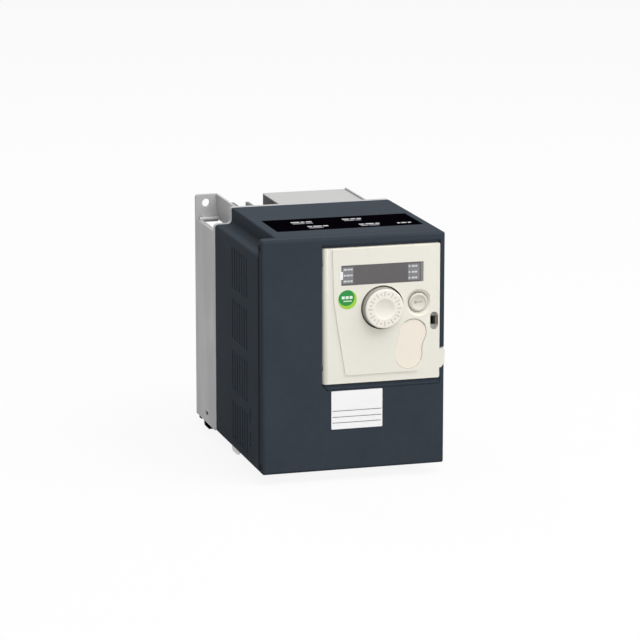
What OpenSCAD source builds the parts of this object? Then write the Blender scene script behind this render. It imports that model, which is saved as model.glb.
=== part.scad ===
// Compact wall-mounted variable frequency drive: a finned heatsink with fan and filter can,
// a moulded housing, a hinged front cover, and a keypad block under its own hinged door.
// The front faces -Y, X runs to the right and Z up. The wall is the plane Y = 0, and the
// origin lies on it, midway between the two fixing holes.

/* [Body] */
// Width of the housing
body_w = 107; // [102:1:120]
// Height of the housing
body_h = 134; // [130:1:150]
// Depth from the wall to the face of the front cover
body_d = 152; // [148:1:170]
// Wall of the moulded housing
wall = 2.2; // [1.8:0.1:2.6]
// Radius of the long outer edges
edge_r = 2; // [1:0.1:2]
// Width of the two screwdriver notches
notch_w = 10; // [8:0.5:11]
// Height of the two screwdriver notches
notch_h = 9.5; // [8:0.5:11]
// Fillet at the foot of a notch
notch_r = 2.5; // [0.5:0.1:3]
// Reach of the earth tab below the housing
earth_drop = 4.3; // [2:0.1:6]

/* [Heatsink] */
// Depth from the wall to the housing
sink_d = 48.5; // [46:0.5:56]
// Thickness of the base plate behind the housing
base_t = 4; // [3:0.5:6]
// Thickness of the outer walls and of the walls beside the ears
sink_wall = 3; // [2:0.5:4]
// Thickness of a cooling fin
fin_t = 1.8; // [1:0.1:2.4]
// How far the tall fins stop below the top
fin_drop = 6; // [4:0.5:12]
// How far the short fins stop below the tall ones
fin_step = 16; // [6:1:40]
// Number of fins beside the filter can
fin_count = 5; // [3:1:6]
// Width of a fixing ear
ear_w = 13.8; // [12:0.2:16]
// Height of a fixing ear
ear_h = 14.5; // [12:0.5:16]
// Thickness of a fixing ear
ear_t = 3; // [2:0.5:5]
// Corner radius of a fixing ear
ear_r = 1.5; // [0.5:0.1:3]
// Lip that folds forward along an ear's edge
ear_lip = 3.6; // [1:0.2:4]
// Thickness of the web that ties an ear to the base plate
web_t = 1.4; // [1:0.1:3]
// Diameter of the fixing holes
hole_d = 5; // [4:0.1:6]
// Distance across between the fixing holes
hole_span_x = 94.6; // [90:0.2:98]
// Distance up between the fixing holes
hole_span_z = 121.5; // [118:0.5:124]
// Upper fixing hole below the top
hole_top = 5; // [4.5:0.5:7]

/* [Filter can] */
// Width of the filter can
can_w = 52; // [40:1:54]
// How far the can's lid lies below the top
can_drop = 1; // [0:0.5:4]
// Space between the can and the wall
can_back = 2; // [1:0.5:6]
// Edge radius of the can
can_r = 1.5; // [0.5:0.5:3]
// Height of the hem along the right edge of the can's lid
can_hem = 1; // [0.4:0.1:2]
// Thickness of the can's sheet
can_t = 0.9; // [0.6:0.1:1.5]
// Height of the can's lid
can_lid = 9; // [5:0.5:14]

/* [Fan] */
// Width of the fan frame
fan_w = 36; // [34:0.5:37]
// Depth of the fan frame
fan_len = 38; // [34:0.5:39]
// Height of the fan frame inside the heatsink
fan_h = 12; // [10:0.5:16]
// Lip of the fan frame below the heatsink
fan_lip = 6; // [2:0.5:8]
// Length of that lip
fan_lip_len = 30; // [16:0.5:32]
// Diameter of the air way
fan_bore = 33; // [26:0.5:33]
// Diameter of the fan's hub
hub_d = 15; // [10:0.5:18]
// Number of blades
blade_count = 7; // [3:1:9]
// Clearance at the blade tips
tip_gap = 0.7; // [0.4:0.1:1.5]
// Length of the fan's clip
clip_len = 5.6; // [3:0.1:8]
// Height of the fan's clip
clip_rise = 2; // [1:0.1:3]
// How far the fan's clip lies below the wall's face
clip_sink = 0.8; // [0.2:0.1:1.2]

/* [Louvres] */
// Number of louvre blocks up each side
louvre_rows = 4; // [2:1:4]
// Number of slots in a block
louvre_cols = 7; // [3:1:7]
// Width of a slot
louvre_w = 1.7; // [1:0.1:3]
// Step from slot to slot
louvre_step = 5.3; // [4:0.1:6]
// Height of a block
louvre_h = 23.4; // [16:0.2:27]
// Step from block to block
louvre_rise = 30; // [28:0.1:31]
// Lowest slot above the bottom
louvre_z = 5.3; // [4:0.1:8]

/* [Top strip] */
// Width of the black strip over the top vents
strip_w = 85.8; // [60:0.2:88]
// Depth of the strip
strip_d = 35; // [20:0.5:40]
// Distance of the strip from the right side
strip_right = 5.4; // [5:0.1:10]
// Distance of the strip from the cover joint
strip_front = 16; // [8:0.5:20]
// Depth of the strip's seat
strip_t = 0.6; // [0.4:0.1:1]
// How far the strip lies below the top
strip_sink = 0.1; // [0:0.05:0.2]

/* [Front cover] */
// Depth of the front cover
cover_d = 7.6; // [7.4:0.1:9]
// Skin of the front cover
cover_skin = 2; // [1.6:0.1:2.4]
// Joint gap between cover and housing
cover_gap = 0.4; // [0.3:0.1:1]
// Diameter of the cover's hinge pins
pin_d = 2.4; // [2:0.1:2.6]
// Hinge axis from the cover's left side
pin_side = 3; // [2.8:0.1:3.4]
// Hinge axis behind the cover's face
pin_front = 4.2; // [4.2:0.1:4.6]
// Height of a hinge tongue
tongue_t = 2.8; // [2:0.1:3.4]
// Middle of a tongue from the nearer end of the cover
tongue_in = 4.6; // [4.4:0.1:6]
// Height of the ribs behind the cover's skin
rib_h = 2; // [1:0.1:3]
// Bevel of the cover above the keypad door
bevel_top = 2; // [0.5:0.1:2.4]
// Bevel of the cover below the keypad door
bevel_low = 3.7; // [1:0.1:6]
// Depth of both bevels
bevel_d = 1.5; // [0.5:0.1:1.8]
// Width of the rating plate
plate_w = 29.9; // [20:0.5:40]
// Height of the rating plate
plate_h = 22; // [12:0.5:30]
// Thickness of the rating plate
plate_t = 0.3; // [0.2:0.1:0.6]

/* [Keypad door] */
// Width of the door
door_w = 68.4; // [68:0.2:71]
// Height of the door
door_h = 77.4; // [77:0.2:82]
// Distance of the door from the right side
door_right = 3.3; // [2.1:0.1:3.6]
// Distance of the door from the top
door_top = 6.3; // [5:0.1:8]
// Skin of the door
door_t = 2.2; // [2:0.1:2.6]
// How far the door stands proud of the cover
door_proud = 0.4; // [0:0.1:0.6]
// Skirt of the door
door_skirt = 1.6; // [1.2:0.1:2]
// Radius of the rounded hinge edge
barrel_r = 3; // [3:0.1:3.4]
// Diameter of the door's hinge pins
door_pin_d = 1.8; // [1.4:0.1:1.9]
// Height of a door hinge tongue
door_tongue_t = 2.6; // [2:0.1:4]
// Middle of a tongue from the nearer end of the door
door_tongue_in = 9; // [7:0.5:11]
// Rise of the shield-shaped panel on the door
shield_rise = 0.8; // [0.4:0.1:1.2]
// Half width of the shield at its top
shield_top = 29; // [28:0.1:30]
// Half width of the shield at its foot
shield_foot = 21.4; // [18:0.1:24]
// Foot of the shield above the door's lower edge
shield_z = 4.8; // [3:0.1:5]
// Width of the display window
window_w = 48; // [40:0.5:50]
// Height of the display window
window_h = 11.4; // [9:0.2:12]
// Top of the window below the door's upper edge
window_drop = 9.8; // [8.6:0.1:10.8]
// Thickness of the window
window_t = 1.4; // [0.8:0.1:1.6]
// Radius of the lobes of the blanking piece
blank_r = 8.3; // [7:0.1:8.4]
// How far the waist of the blanking piece draws in
blank_waist = 1; // [0.4:0.1:1.6]
// Gap round the blanking piece
blank_gap = 0.24; // [0.06:0.02:0.3]
// How far the blanking piece lies below the shield
blank_sink = 0.5; // [0.1:0.05:0.6]
// Radius of the round sticker
sticker_r = 5.4; // [4:0.1:6]
// Reach of the finger tab past the door's edge
tab_reach = 3.1; // [1:0.1:3.1]
// Height of the finger tab
tab_h = 11; // [6:0.5:14]
// Width of the sealing slot
seal_w = 4.6; // [3:0.1:5]
// Height of the sealing slot
seal_h = 10.2; // [7:0.1:12]

/* [Jog dial and keys] */
// Diameter of the dial at its foot
dial_d = 24; // [20:0.1:24.2]
// Diameter of the dial at its face
dial_face_d = 22.6; // [18:0.1:22.6]
// Rise of the dial above the door
dial_rise = 5.5; // [3:0.1:6]
// Clearance between the dial and its hole in the door
dial_gap = 0.5; // [0.5:0.1:0.8]
// Dial axis below the door's upper edge
dial_drop = 34.8; // [34.6:0.1:36.4]
// Diameter of the dial's shaft
shaft_d = 6; // [4:0.1:6.4]
// Press travel of the dial and keys
press = 0.6; // [0.3:0.1:0.6]
// Diameter of the escape key
key_d = 10.8; // [9:0.1:12]
// Diameter of the dished recess round the escape key
key_recess_d = 15.4; // [13.2:0.1:15.6]
// Diameter of the keys under the door
inner_key_d = 11.6; // [9:0.1:11.8]
// Diameter of the mode key
mode_key_d = 9; // [7:0.1:10]
// Diameter of a key's stem
stem_d = 5; // [3:0.1:6]

/* [Fits] */
// Radial clearance of running fits
fit = 0.05; // [0.02:0.01:0.1]
// Clearance between pieces that move apart
run_gap = 0.3; // [0.3:0.05:0.4]
// Clearance at the free side of the door, which the cover's edge swings past
swing_gap = 0.45; // [0.45:0.05:0.6]
// Clearance at the hinge side of the door
hinge_gap = 0.6; // [0.5:0.05:0.8]
// Clearance round seated pieces
seat_gap = 0.1; // [0.05:0.01:0.15]

/* [Boards] */
// Thickness of the circuit boards
board_t = 1.6; // [1:0.1:2]
// Space between the boards and the housing
case_room = 0.8; // [0.4:0.1:2]
// Space between neighbouring parts on a board
part_gap = 2; // [1:0.1:2.4]
// Distance of the fixing posts from the edges of the power board
post_in = 4.5; // [4:0.1:6]
// Radius of the fixing posts
post_r = 3; // [2.4:0.1:3.4]
// Thickness of the pad under the power module
pad_t = 0.5; // [0.2:0.1:1]
// Width of the power module
module_w = 52; // [40:1:56]
// Height of the power module
module_l = 38; // [30:1:44]
// Thickness of the power module
module_h = 12; // [9:0.5:14]
// Space between the power module and its board
module_pins = 3.4; // [2:0.2:5]
// Step from pin to pin of the power module
pin_step = 6; // [4:0.5:8]
// Diameter of a bus capacitor
cap_d = 22; // [16:0.5:24]
// Height of a bus capacitor
cap_h = 36; // [25:1:38]
// Outer diameter of the filter choke
choke_d = 29; // [22:0.5:30]
// Thickness of the choke's ring
choke_t = 10; // [6:0.5:10]
// Width of the supply transformer
trafo_w = 26; // [20:0.5:27]
// Height of the supply transformer
trafo_l = 24; // [18:0.5:25]
// Depth of the supply transformer
trafo_h = 20; // [14:0.5:24]
// Width of a relay
relay_w = 13; // [9:0.5:14]
// Height of a relay
relay_l = 14; // [10:0.5:15]
// Depth of a relay
relay_h = 15; // [10:0.5:20]
// Width of a current sensor
sensor_w = 12; // [8:0.5:18]
// Height of a current sensor
sensor_l = 9; // [6:0.5:9.5]
// Depth of a current sensor
sensor_h = 12; // [9:0.5:16]
// Number of power terminals
pole_count = 9; // [6:1:10]
// Step from power terminal to power terminal
pole_step = 9.5; // [8:0.1:9.6]
// Height of the power terminal block
pole_l = 18; // [15:0.5:19]
// Depth of the power terminal block
pole_h = 46; // [40:0.5:48]
// Number of control terminals
control_count = 12; // [8:1:13]
// Step from control terminal to control terminal
control_step = 5; // [3.5:0.1:5.1]
// Height of the control terminal block
control_l = 10; // [8:0.5:10]
// Depth of the control terminal block
control_h = 12; // [10:0.5:13]
// Height of the control board
control_board_l = 80; // [76:0.5:84]
// Width of the communication socket
socket_w = 16; // [14:0.5:18]
// Side of the encoder's case
encoder_w = 12; // [10:0.5:14]
// Depth of the encoder's case
encoder_h = 5; // [4:0.1:6]
// Side of a tact switch
switch_w = 6; // [4:0.5:7]
// Height of a tact switch
switch_h = 4; // [3:0.1:4.4]

/* [Hidden] */
$fn = 48;

navy = [0.22, 0.24, 0.28];
beige = [0.91, 0.9, 0.855];
board_green = [0.1, 0.36, 0.2];
over = 1;
half_w = body_w / 2;

// Fixing holes, and the height of the origin above the bottom
hole_x = hole_span_x / 2;
hole_hi = body_h - hole_top;
hole_lo = hole_hi - hole_span_z;
mount_mid = (hole_hi + hole_lo) / 2;

// Planes across the depth
front_y = -body_d;
sink_y = -sink_d;
base_y = sink_y + base_t;
cover_back_y = front_y + cover_d;
joint_y = cover_back_y + cover_gap;

// Heatsink
ear_in = half_w - ear_w;
wall_in = half_w - sink_wall;
wall_top = body_h - ear_h;
can_x1 = ear_in - seat_gap;
can_x0 = can_x1 - can_w;
fan_x = -wall_in + seat_gap + fan_w / 2;
fan_y = base_y + seat_gap + fan_len / 2;
clip_z = fan_h - 7;
fin_foot = fan_h + over;
can_z1 = body_h - can_drop;
screw_r = 1.5;
head_r = 2.7;
head_t = 1.8;
sink_screw_x = (ear_in + sink_wall + wall_in) / 2;
sink_screw_z = [body_h * 0.2, body_h * 0.8];

// Earth tab
earth_y = joint_y + 61;
tab_half = 7.6;
tab_t = 1.2;
tab_x = -half_w + wall + 0.3;

// Cover hinge
pin_x = -half_w + pin_side;
pin_y = front_y + pin_front;
tongue_r = pin_d / 2 + 1.3;
cover_barrel_r = cover_back_y - pin_y;
tongue_z = [tongue_in, body_h - tongue_in];

// Door
door_x1 = half_w - door_right;
door_x0 = door_x1 - door_w;
door_z1 = body_h - door_top;
door_z0 = door_z1 - door_h;
door_y = front_y - door_proud;
door_back = door_y + door_t;
axis_x = door_x0 + barrel_r;
axis_y = door_y + barrel_r;
door_pin_hold = 3;
door_tongue_r = door_pin_d / 2 + 0.9;
door_tongue_z = [door_z0 + door_tongue_in, door_z1 - door_tongue_in];
hmi_x = (door_x0 + door_x1) / 2 + 0.2;
shield_y = door_y - shield_rise;

// Keypad block: planes of its plate, its board and the chassis that carries it
key_space = 3.3;
bezel_y = door_back + key_space;
bezel_t = 2;
bezel_back = bezel_y + bezel_t;
skirt_y = bezel_y - run_gap;
keypad_y = bezel_y + 9.3;
keypad_back = keypad_y + board_t;
chassis_y = joint_y + 18;
chassis_t = 2;
chassis_z0 = door_z0 + 6;
bezel_x0 = door_x0 + 0.6;
bezel_x1 = door_x1 - 0.6;
bezel_z0 = door_z0 + 1;
bezel_z1 = door_z1 - 1;
bezel_wall = 1.6;

// Places of the dial, the keys and the display
dial_x = hmi_x;
dial_z = door_z1 - dial_drop;
dial_face_y = door_y - dial_rise;
dial_foot_y = bezel_y - press - run_gap - 0.1;
dial_hole_r = dial_d / 2 + dial_gap;
key_x = hmi_x + 21.5;
key_z = door_z1 - 33.3;
run_at = [hmi_x + 18.1, door_z1 - 50.6];
stop_at = [hmi_x + 15.7, door_z1 - 62.8];
mode_at = [hmi_x - 19, door_z1 - 52];
cap_under = bezel_y - press - run_gap - 0.1;
cap_t = 1.6;
switch_y = keypad_y - switch_h;
plunger = 0.8;
sleeve_r = shaft_d / 2 + 1.5;
stem_end = switch_y - plunger - press - run_gap;
window_z1 = door_z1 - window_drop;
window_z0 = window_z1 - window_h;
window_rim = 1;

// Control board, and its terminals and socket
control_y = chassis_y + chassis_t + 4.4;
control_back = control_y + board_t;
control_z0 = door_z0 - 14;
control_z1 = control_z0 + control_board_l;
control_half = half_w - wall - 4.3;
control_row = control_count * control_step;
control_x0 = -control_half + 1;
control_row_z = [control_z0 + 3, control_z0 + 3 + control_l];
control_front = control_y - control_h;
control_post_x = control_half - 9;
control_post_z = [chassis_z0 + 4, control_z1 - 6];
socket_x0 = control_x0 + control_row + 2 * part_gap;
boss_r = 3.2;
boss_x = half_w - wall - boss_r;
boss_z = [chassis_z0 + 6, body_h - notch_h - wall - boss_r - 2];
boss_len = 22;

// Power board, with its parts in rows from the terminals up to the capacitors
module_y = sink_y - module_h - pad_t;
power_back = module_y - module_pins;
power_y = power_back - board_t;
power_z0 = notch_h + wall + case_room;
power_z1 = body_h - power_z0;
power_half = half_w - wall - 8;
terminal_z = [power_z0 + part_gap, power_z0 + part_gap + pole_l];
terminal_front = power_y - pole_h;
terminal_half = pole_count * pole_step / 2;
sensor_z = [terminal_z[1] + part_gap, terminal_z[1] + part_gap + sensor_l];
standoff_x = power_half - post_in;
standoff_z = [(sensor_z[0] + sensor_z[1]) / 2, power_z1 - post_in];
sensor_reach = standoff_x - head_r - part_gap - sensor_w / 2;
riser_x = power_half - 4.3;
riser_z = [control_post_z[0] + head_r + part_gap, control_post_z[1] - head_r - part_gap];
cap_z = standoff_z[1] - head_r - part_gap - cap_d / 2;
cap_step = cap_d + part_gap;
cap_count = max(1, floor((2 * riser_x - part_gap) / cap_step));
row_z = [sensor_z[1] + part_gap, cap_z - cap_d / 2 - part_gap];
choke_x = -power_half + 2 * part_gap + choke_d / 2;
choke_z = (row_z[0] + row_z[1]) / 2;
trafo_x = choke_x + choke_d / 2 + part_gap;
relay_z = row_z[0] + trafo_l + part_gap;
module_z = (power_z0 + power_z1) / 2;

function unit(v) = v / norm(v);

// Arc that rounds the corner b of the path a, b, c
function corner_arc(a, b, c, r, n) =
  let (u = unit(a - b), v = unit(c - b), half = acos(u * v) / 2)
  let (o = b + unit(u + v) * r / sin(half), p = b + u * r / tan(half) - o, q = b + v * r / tan(half) - o)
  let (a0 = atan2(p.y, p.x), turn = atan2(p.x * q.y - p.y * q.x, p * q))
  [for (i = [0:n]) o + r * [cos(a0 + turn * i / n), sin(a0 + turn * i / n)]];

// Closed path with each corner rounded to its own radius
function rounded(pts, radii, n = 6) =
  let (m = len(pts))
  [for (i = [0:m - 1])
    each (radii[i] > 0
      ? corner_arc(pts[(i + m - 1) % m], pts[i], pts[(i + 1) % m], radii[i], n)
      : [pts[i]])];

// Moves a piece drawn from the bottom edge of the drive to the origin
module on_wall() { translate([0, 0, -mount_mid]) children(); }

// Block between two limits on each axis
module block(x, y, z) {
  translate([x[0], y[0], z[0]]) cube([x[1] - x[0], y[1] - y[0], z[1] - z[0]]);
}

// Outline in X and Z, drawn out along Y
module along_y(y0, y1) {
  translate([0, y1, 0]) rotate([90, 0, 0]) linear_extrude(y1 - y0) children();
}

// Outline in Y and Z, drawn out along X
module along_x(x0, x1) {
  translate([x0, 0, 0]) rotate([90, 0, 90]) linear_extrude(x1 - x0) children();
}

// Round bar along Y
module rod_y(x, z, y0, y1, r) {
  translate([x, y1, z]) rotate([90, 0, 0]) cylinder(r = r, h = y1 - y0);
}

// Round bar along Z
module rod_z(x, y, z0, z1, r) { translate([x, y, z0]) cylinder(r = r, h = z1 - z0); }

// Rectangle with rounded corners between two limits on each axis
module round_rect(x, z, r) {
  translate([x[0] + r, z[0]]) square([x[1] - x[0] - 2 * r, z[1] - z[0]]);
  translate([x[0], z[0] + r]) square([x[1] - x[0], z[1] - z[0] - 2 * r]);
  for (cx = [x[0] + r, x[1] - r], cz = [z[0] + r, z[1] - r]) translate([cx, cz]) circle(r = r);
}

// Pan-head screw along Y: its head lies in front of y, or behind it when turned
module screw_y(x, z, y, length, toward = -1) {
  translate([x, y, z]) rotate([90 * -toward, 0, 0]) {
    difference() {
      translate([0, 0, 0]) cylinder(r = head_r, h = head_t);
      translate([-head_r, -0.3, head_t - 0.6]) cube([2 * head_r, 0.6, 1]);
    }
    translate([0, 0, -length]) cylinder(r = screw_r, h = length + 0.1);
  }
}

// Outline of the body seen from the front, drawn in by an inset, with both notches
module body_profile(inset = 0) {
  w = half_w - inset;
  lo = inset;
  hi = body_h - inset;
  nx = half_w - notch_w - inset;
  nz = notch_h + inset;
  r = max(edge_r - inset, 0.4);
  polygon(rounded(
    [[-w, lo], [nx, lo], [nx, nz], [w, nz], [w, hi], [-nx, hi], [-nx, body_h - nz], [-w, body_h - nz]],
    [r, r / 2, notch_r, r, r, r / 2, notch_r, r]));
}

// Fixing ear with its forward lip, at the upper left
module ear() {
  along_y(-ear_t, 0) polygon(rounded(
    [[-half_w, wall_top], [-ear_in, wall_top], [-ear_in, body_h], [-half_w, body_h]], [0, 0, 0, ear_r]));
  block([-wall_in, -ear_in], [-ear_t - ear_lip, -ear_t + 0.1], [wall_top, wall_top + 2]);
  // Web that ties the ear to the base plate
  block([-ear_in - web_t, -ear_in], [base_y - 0.1, 0], [wall_top, body_h]);
}

// Turns a shape half round about the middle of the front
module half_turn() { translate([0, 0, body_h]) rotate([0, 180, 0]) children(); }

module heatsink() {
  color("silver") on_wall() difference() {
    union() {
      along_y(sink_y, base_y) body_profile();
      ear();
      half_turn() ear();
      // Outer walls
      for (side = [0, 1]) mirror([side, 0, 0])
        block([-half_w, -wall_in], [base_y - 0.1, 0], [0, wall_top + 0.1]);
      // Wall between the filter can and the right channel
      block([ear_in, ear_in + sink_wall], [base_y - 0.1, 0], [0, wall_top]);
      // Fins, tall and short in turn
      for (i = [1:fin_count]) {
        x = -ear_in + (can_x0 + ear_in) * i / (fin_count + 1);
        top = body_h - fin_drop - (i % 2 == 1 ? fin_step : 0);
        block([x - fin_t / 2, x + fin_t / 2], [base_y - 0.1, -0.3], [fin_foot, top]);
      }
    }
    // Fixing holes
    for (s = [-1, 1])
      rod_y(s * hole_x, s < 0 ? hole_hi : hole_lo, -ear_t - ear_lip - over, over, hole_d / 2);
    // Holes for the housing screws
    for (s = [-1, 1], z = sink_screw_z)
      rod_y(s * sink_screw_x, z, sink_y - over, base_y + over, screw_r + seat_gap);
    // Window for the fan's clip in the left wall
    block([-half_w - over, -wall_in + over],
          [fan_y - clip_len / 2 - seat_gap, fan_y + clip_len / 2 + seat_gap],
          [clip_z - seat_gap, clip_z + clip_rise + seat_gap]);
  }
}

// Clip that holds the fan in the left wall: flat below, and sloped above to slip past the wall
module fan_clip(foot_x) {
  catch_x = -half_w + clip_sink;
  along_y(fan_y - clip_len / 2, fan_y + clip_len / 2)
    polygon([[foot_x, clip_z], [catch_x, clip_z], [catch_x, clip_z + clip_rise / 3],
             [foot_x, clip_z + clip_rise]]);
}

module filter_can() {
  seam = 0.5;
  seam_z = can_z1 - can_lid;
  color("gainsboro") on_wall() {
    difference() {
      translate([0, 0, fin_foot]) linear_extrude(can_z1 - fin_foot)
        round_rect([can_x0, can_x1], [base_y, -can_back], can_r);
      // Seam under the lid
      difference() {
        block([can_x0 - over, can_x1 + over], [base_y - over, over], [seam_z - seam, seam_z]);
        linear_extrude(body_h)
          round_rect([can_x0 + seam, can_x1 - seam], [base_y + seam, -can_back - seam], can_r);
      }
    }
    // Hem that stands up along the right edge of the lid
    block([can_x1 - can_t, can_x1], [base_y + can_r, -can_back - can_r], [can_z1 - 0.1, can_z1 + can_hem]);
  }
}

module fan_frame() {
  hub_t = 1.6;
  strut = 2.4;
  x = [fan_x - fan_w / 2, fan_x + fan_w / 2];
  rear = fan_y + fan_len / 2;
  foot_y = [rear - 5, rear - 0.5];
  foot_t = 0.9;
  color([0.06, 0.06, 0.07]) on_wall() {
    difference() {
      union() {
        block(x, [fan_y - fan_len / 2, fan_y + fan_len / 2], [0, fan_h]);
        // Lip under the heatsink, rounded at the rear and sloping up to the front
        along_x(x[0], x[1]) polygon(rounded(
          [[rear, 0.1], [rear - fan_lip_len, 0.1], [rear - fan_lip_len * 0.4, -fan_lip], [rear, -fan_lip]],
          [0, 0, fan_lip, fan_lip / 3]));
        // Foot that hooks under the left wall
        block([-half_w, x[0] + over], foot_y, [-seat_gap - foot_t, -seat_gap]);
        fan_clip(x[0] + 0.1);
      }
      rod_z(fan_x, fan_y, -fan_lip - over, fan_h + over, fan_bore / 2);
    }
    difference() {
      union() {
        rod_z(fan_x, fan_y, 0, hub_t, hub_d / 2);
        for (a = [45:90:315]) translate([fan_x, fan_y, 0]) rotate(a)
          translate([hub_d / 2 - 1, -strut / 2, 0]) cube([(fan_bore - hub_d) / 2 + 1.2, strut, hub_t]);
      }
      rod_z(fan_x, fan_y, -over, hub_t + over, 1 + fit);
    }
  }
}

// Outline of a blade seen from its tip: a thin arc
module blade_section(height, thick) {
  bend = height * 1.1;
  intersection() {
    difference() {
      translate([bend, 0]) circle(r = bend + thick / 2);
      translate([bend, 0]) circle(r = bend - thick / 2);
    }
    translate([-thick, 0]) square([height, height]);
  }
}

module fan_rotor() {
  foot = 2.1;
  height = fan_h - foot - 1;
  blade_t = 1;
  reach = fan_bore / 2 - tip_gap;
  color([0.09, 0.09, 0.1]) on_wall() translate([fan_x, fan_y, foot]) {
    cylinder(r = hub_d / 2 - 0.3, h = height);
    translate([0, 0, 0.3 - foot]) cylinder(r = 1, h = foot);
    intersection() {
      cylinder(r = reach, h = height);
      for (i = [0:blade_count - 1]) rotate(i * 360 / blade_count)
        translate([hub_d / 2 - 1.2, 0, 0]) rotate([90, 0, 90]) linear_extrude(reach)
          translate([-height * 0.35, 0]) blade_section(height, blade_t);
    }
  }
}

// Hinge tongue of the housing, with the eye for the cover's pin
module tongue(z) {
  difference() {
    union() {
      rod_z(pin_x, pin_y, z - tongue_t / 2, z + tongue_t / 2, tongue_r);
      block([pin_x - 1.5, pin_x + 1.5], [pin_y, joint_y + wall], [z - tongue_t / 2, z + tongue_t / 2]);
    }
    rod_z(pin_x, pin_y, z - tongue_t, z + tongue_t, pin_d / 2 + fit);
  }
}

module housing() {
  shoulder = body_h - notch_h;
  strip_x = [half_w - strip_right - strip_w, half_w - strip_right];
  strip_y = [joint_y + strip_front, joint_y + strip_front + strip_d];
  screw_boss = 10;
  color(navy) on_wall() {
    difference() {
      along_y(joint_y, sink_y) body_profile();
      along_y(joint_y - over, sink_y + over) body_profile(wall);
      // Side louvres
      for (row = [0:louvre_rows - 1], col = [0:louvre_cols - 1])
        louvre(joint_y + 23.7 + col * louvre_step, louvre_z + row * louvre_rise, louvre_h);
      for (z = [11, 24.7]) louvre(joint_y + 16.5, z, 8);
      // Clip windows at the rear edge
      for (z = [12.5, shoulder - wall - 12]) louvre(sink_y - 2.2, z, 7);
      // Seat of the vent strip, and the vents under it
      block([strip_x[0] - seat_gap, strip_x[1] + seat_gap], [strip_y[0] - seat_gap, strip_y[1] + seat_gap],
            [body_h - strip_t, body_h + over]);
      for (x = [strip_x[0] + 6:7.6:strip_x[1] - 9])
        block([x, x + 3], [strip_y[0] + 4, strip_y[1] - 4], [body_h - wall - over, body_h]);
      // Cable entry and vents in the bottom
      block([-terminal_half, terminal_half - notch_w], [joint_y + 6, joint_y + 30], [-over, wall + over]);
      for (x = [-half_w + 23.5:8:half_w - notch_w - 10])
        block([x, x + 3], [joint_y + 50, sink_y - 14], [-over, wall + over]);
      // Slot for the earth tab
      block([tab_x - seat_gap, tab_x + tab_t + seat_gap],
            [earth_y - tab_half - seat_gap, earth_y + tab_half + seat_gap], [-over, wall + over]);
    }
    for (z = tongue_z) tongue(z);
    // Post that carries the upper tongue on the shoulder of the notch
    block([-half_w + 0.6, pin_x + 1.5], [joint_y, joint_y + wall],
          [shoulder - wall, tongue_z[1] + tongue_t / 2]);
    // Bosses for the chassis
    for (s = [-1, 1], z = boss_z) chassis_boss(s, z);
    // Bosses for the screws that hold the heatsink
    for (s = [-1, 1], z = sink_screw_z) difference() {
      union() {
        rod_y(s * sink_screw_x, z, sink_y - screw_boss, sink_y, boss_r);
        block([s > 0 ? sink_screw_x : -half_w + wall - 0.1, s > 0 ? half_w - wall + 0.1 : -sink_screw_x],
              [sink_y - screw_boss, sink_y], [z - 1, z + 1]);
      }
      rod_y(s * sink_screw_x, z, sink_y - screw_boss + 1, sink_y + over, screw_r);
    }
    // Stiffening ribs along the inside of the top
    for (y = [strip_y[1] + 6, sink_y - 8])
      block([-half_w + notch_w + wall - 0.5, half_w - wall + 0.1], [y, y + 1.6],
            [body_h - wall - 2.4, body_h - wall + 0.1]);
  }
}

// One louvre slot through each side wall, clear of the notches
module louvre(y, z, h) {
  margin = wall + 1.5;
  left_top = min(z + h, body_h - notch_h - margin);
  right_z = [max(z, notch_h + margin), min(z + h, body_h - margin)];
  block([-half_w - over, -half_w + wall + over], [y, y + louvre_w], [z, left_top]);
  block([half_w - wall - over, half_w + over], [y, y + louvre_w], right_z);
}

module chassis_boss(s, z) {
  back = chassis_y + chassis_t;
  difference() {
    union() {
      rod_y(s * boss_x, z, back, back + boss_len, boss_r);
      block([s > 0 ? boss_x : -half_w + wall - 0.1, s > 0 ? half_w - wall + 0.1 : -boss_x],
            [back, back + boss_len], [z - boss_r, z + boss_r]);
    }
    rod_y(s * boss_x, z, chassis_y, back + 10, screw_r);
  }
}

module housing_screws() {
  color("dimgray") on_wall() for (s = [-1, 1], z = sink_screw_z)
    screw_y(s * sink_screw_x, z, base_y, base_t + 8, 1);
}

module vent_strip() {
  color([0.07, 0.06, 0.09]) on_wall()
    block([half_w - strip_right - strip_w, half_w - strip_right],
          [joint_y + strip_front, joint_y + strip_front + strip_d], [body_h - strip_t, body_h - strip_sink]);
}

module earth_tab() {
  top = wall + 2;
  color("lightgray") on_wall() difference() {
    union() {
      along_x(tab_x, tab_x + tab_t) polygon(rounded(
        [[earth_y - tab_half, top], [earth_y - tab_half, -earth_drop],
         [earth_y + tab_half, -earth_drop], [earth_y + tab_half, top]], [0, 4, 2, 0]));
      block([tab_x, tab_x + 13], [earth_y - tab_half, earth_y + tab_half], [wall, wall + tab_t]);
    }
    rod_z(tab_x + 8, earth_y, 0, wall + 4, screw_r + seat_gap);
  }
}

module earth_screw() {
  color("dimgray") on_wall() translate([tab_x + 8, earth_y, wall + tab_t]) {
    cylinder(r = head_r, h = head_t);
    translate([0, 0, -tab_t]) cylinder(r = screw_r, h = tab_t + 0.1);
  }
}

module thermal_pad() {
  rim = 1;
  color("whitesmoke") on_wall()
    block([-module_w / 2 - rim, module_w / 2 + rim], [sink_y - pad_t, sink_y],
          [module_z - module_l / 2 - rim, module_z + module_l / 2 + rim]);
}

module power_module() {
  last = floor((module_w - pin_step) / pin_step);
  color([0.12, 0.12, 0.13]) on_wall() {
    along_y(module_y, sink_y - pad_t)
      round_rect([-module_w / 2, module_w / 2], [module_z - module_l / 2, module_z + module_l / 2], 2);
    for (s = [-1, 1], i = [0:last])
      rod_y((i - last / 2) * pin_step, module_z + s * (module_l / 2 - 3), power_back, module_y + 0.1, 0.6);
  }
}

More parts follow.
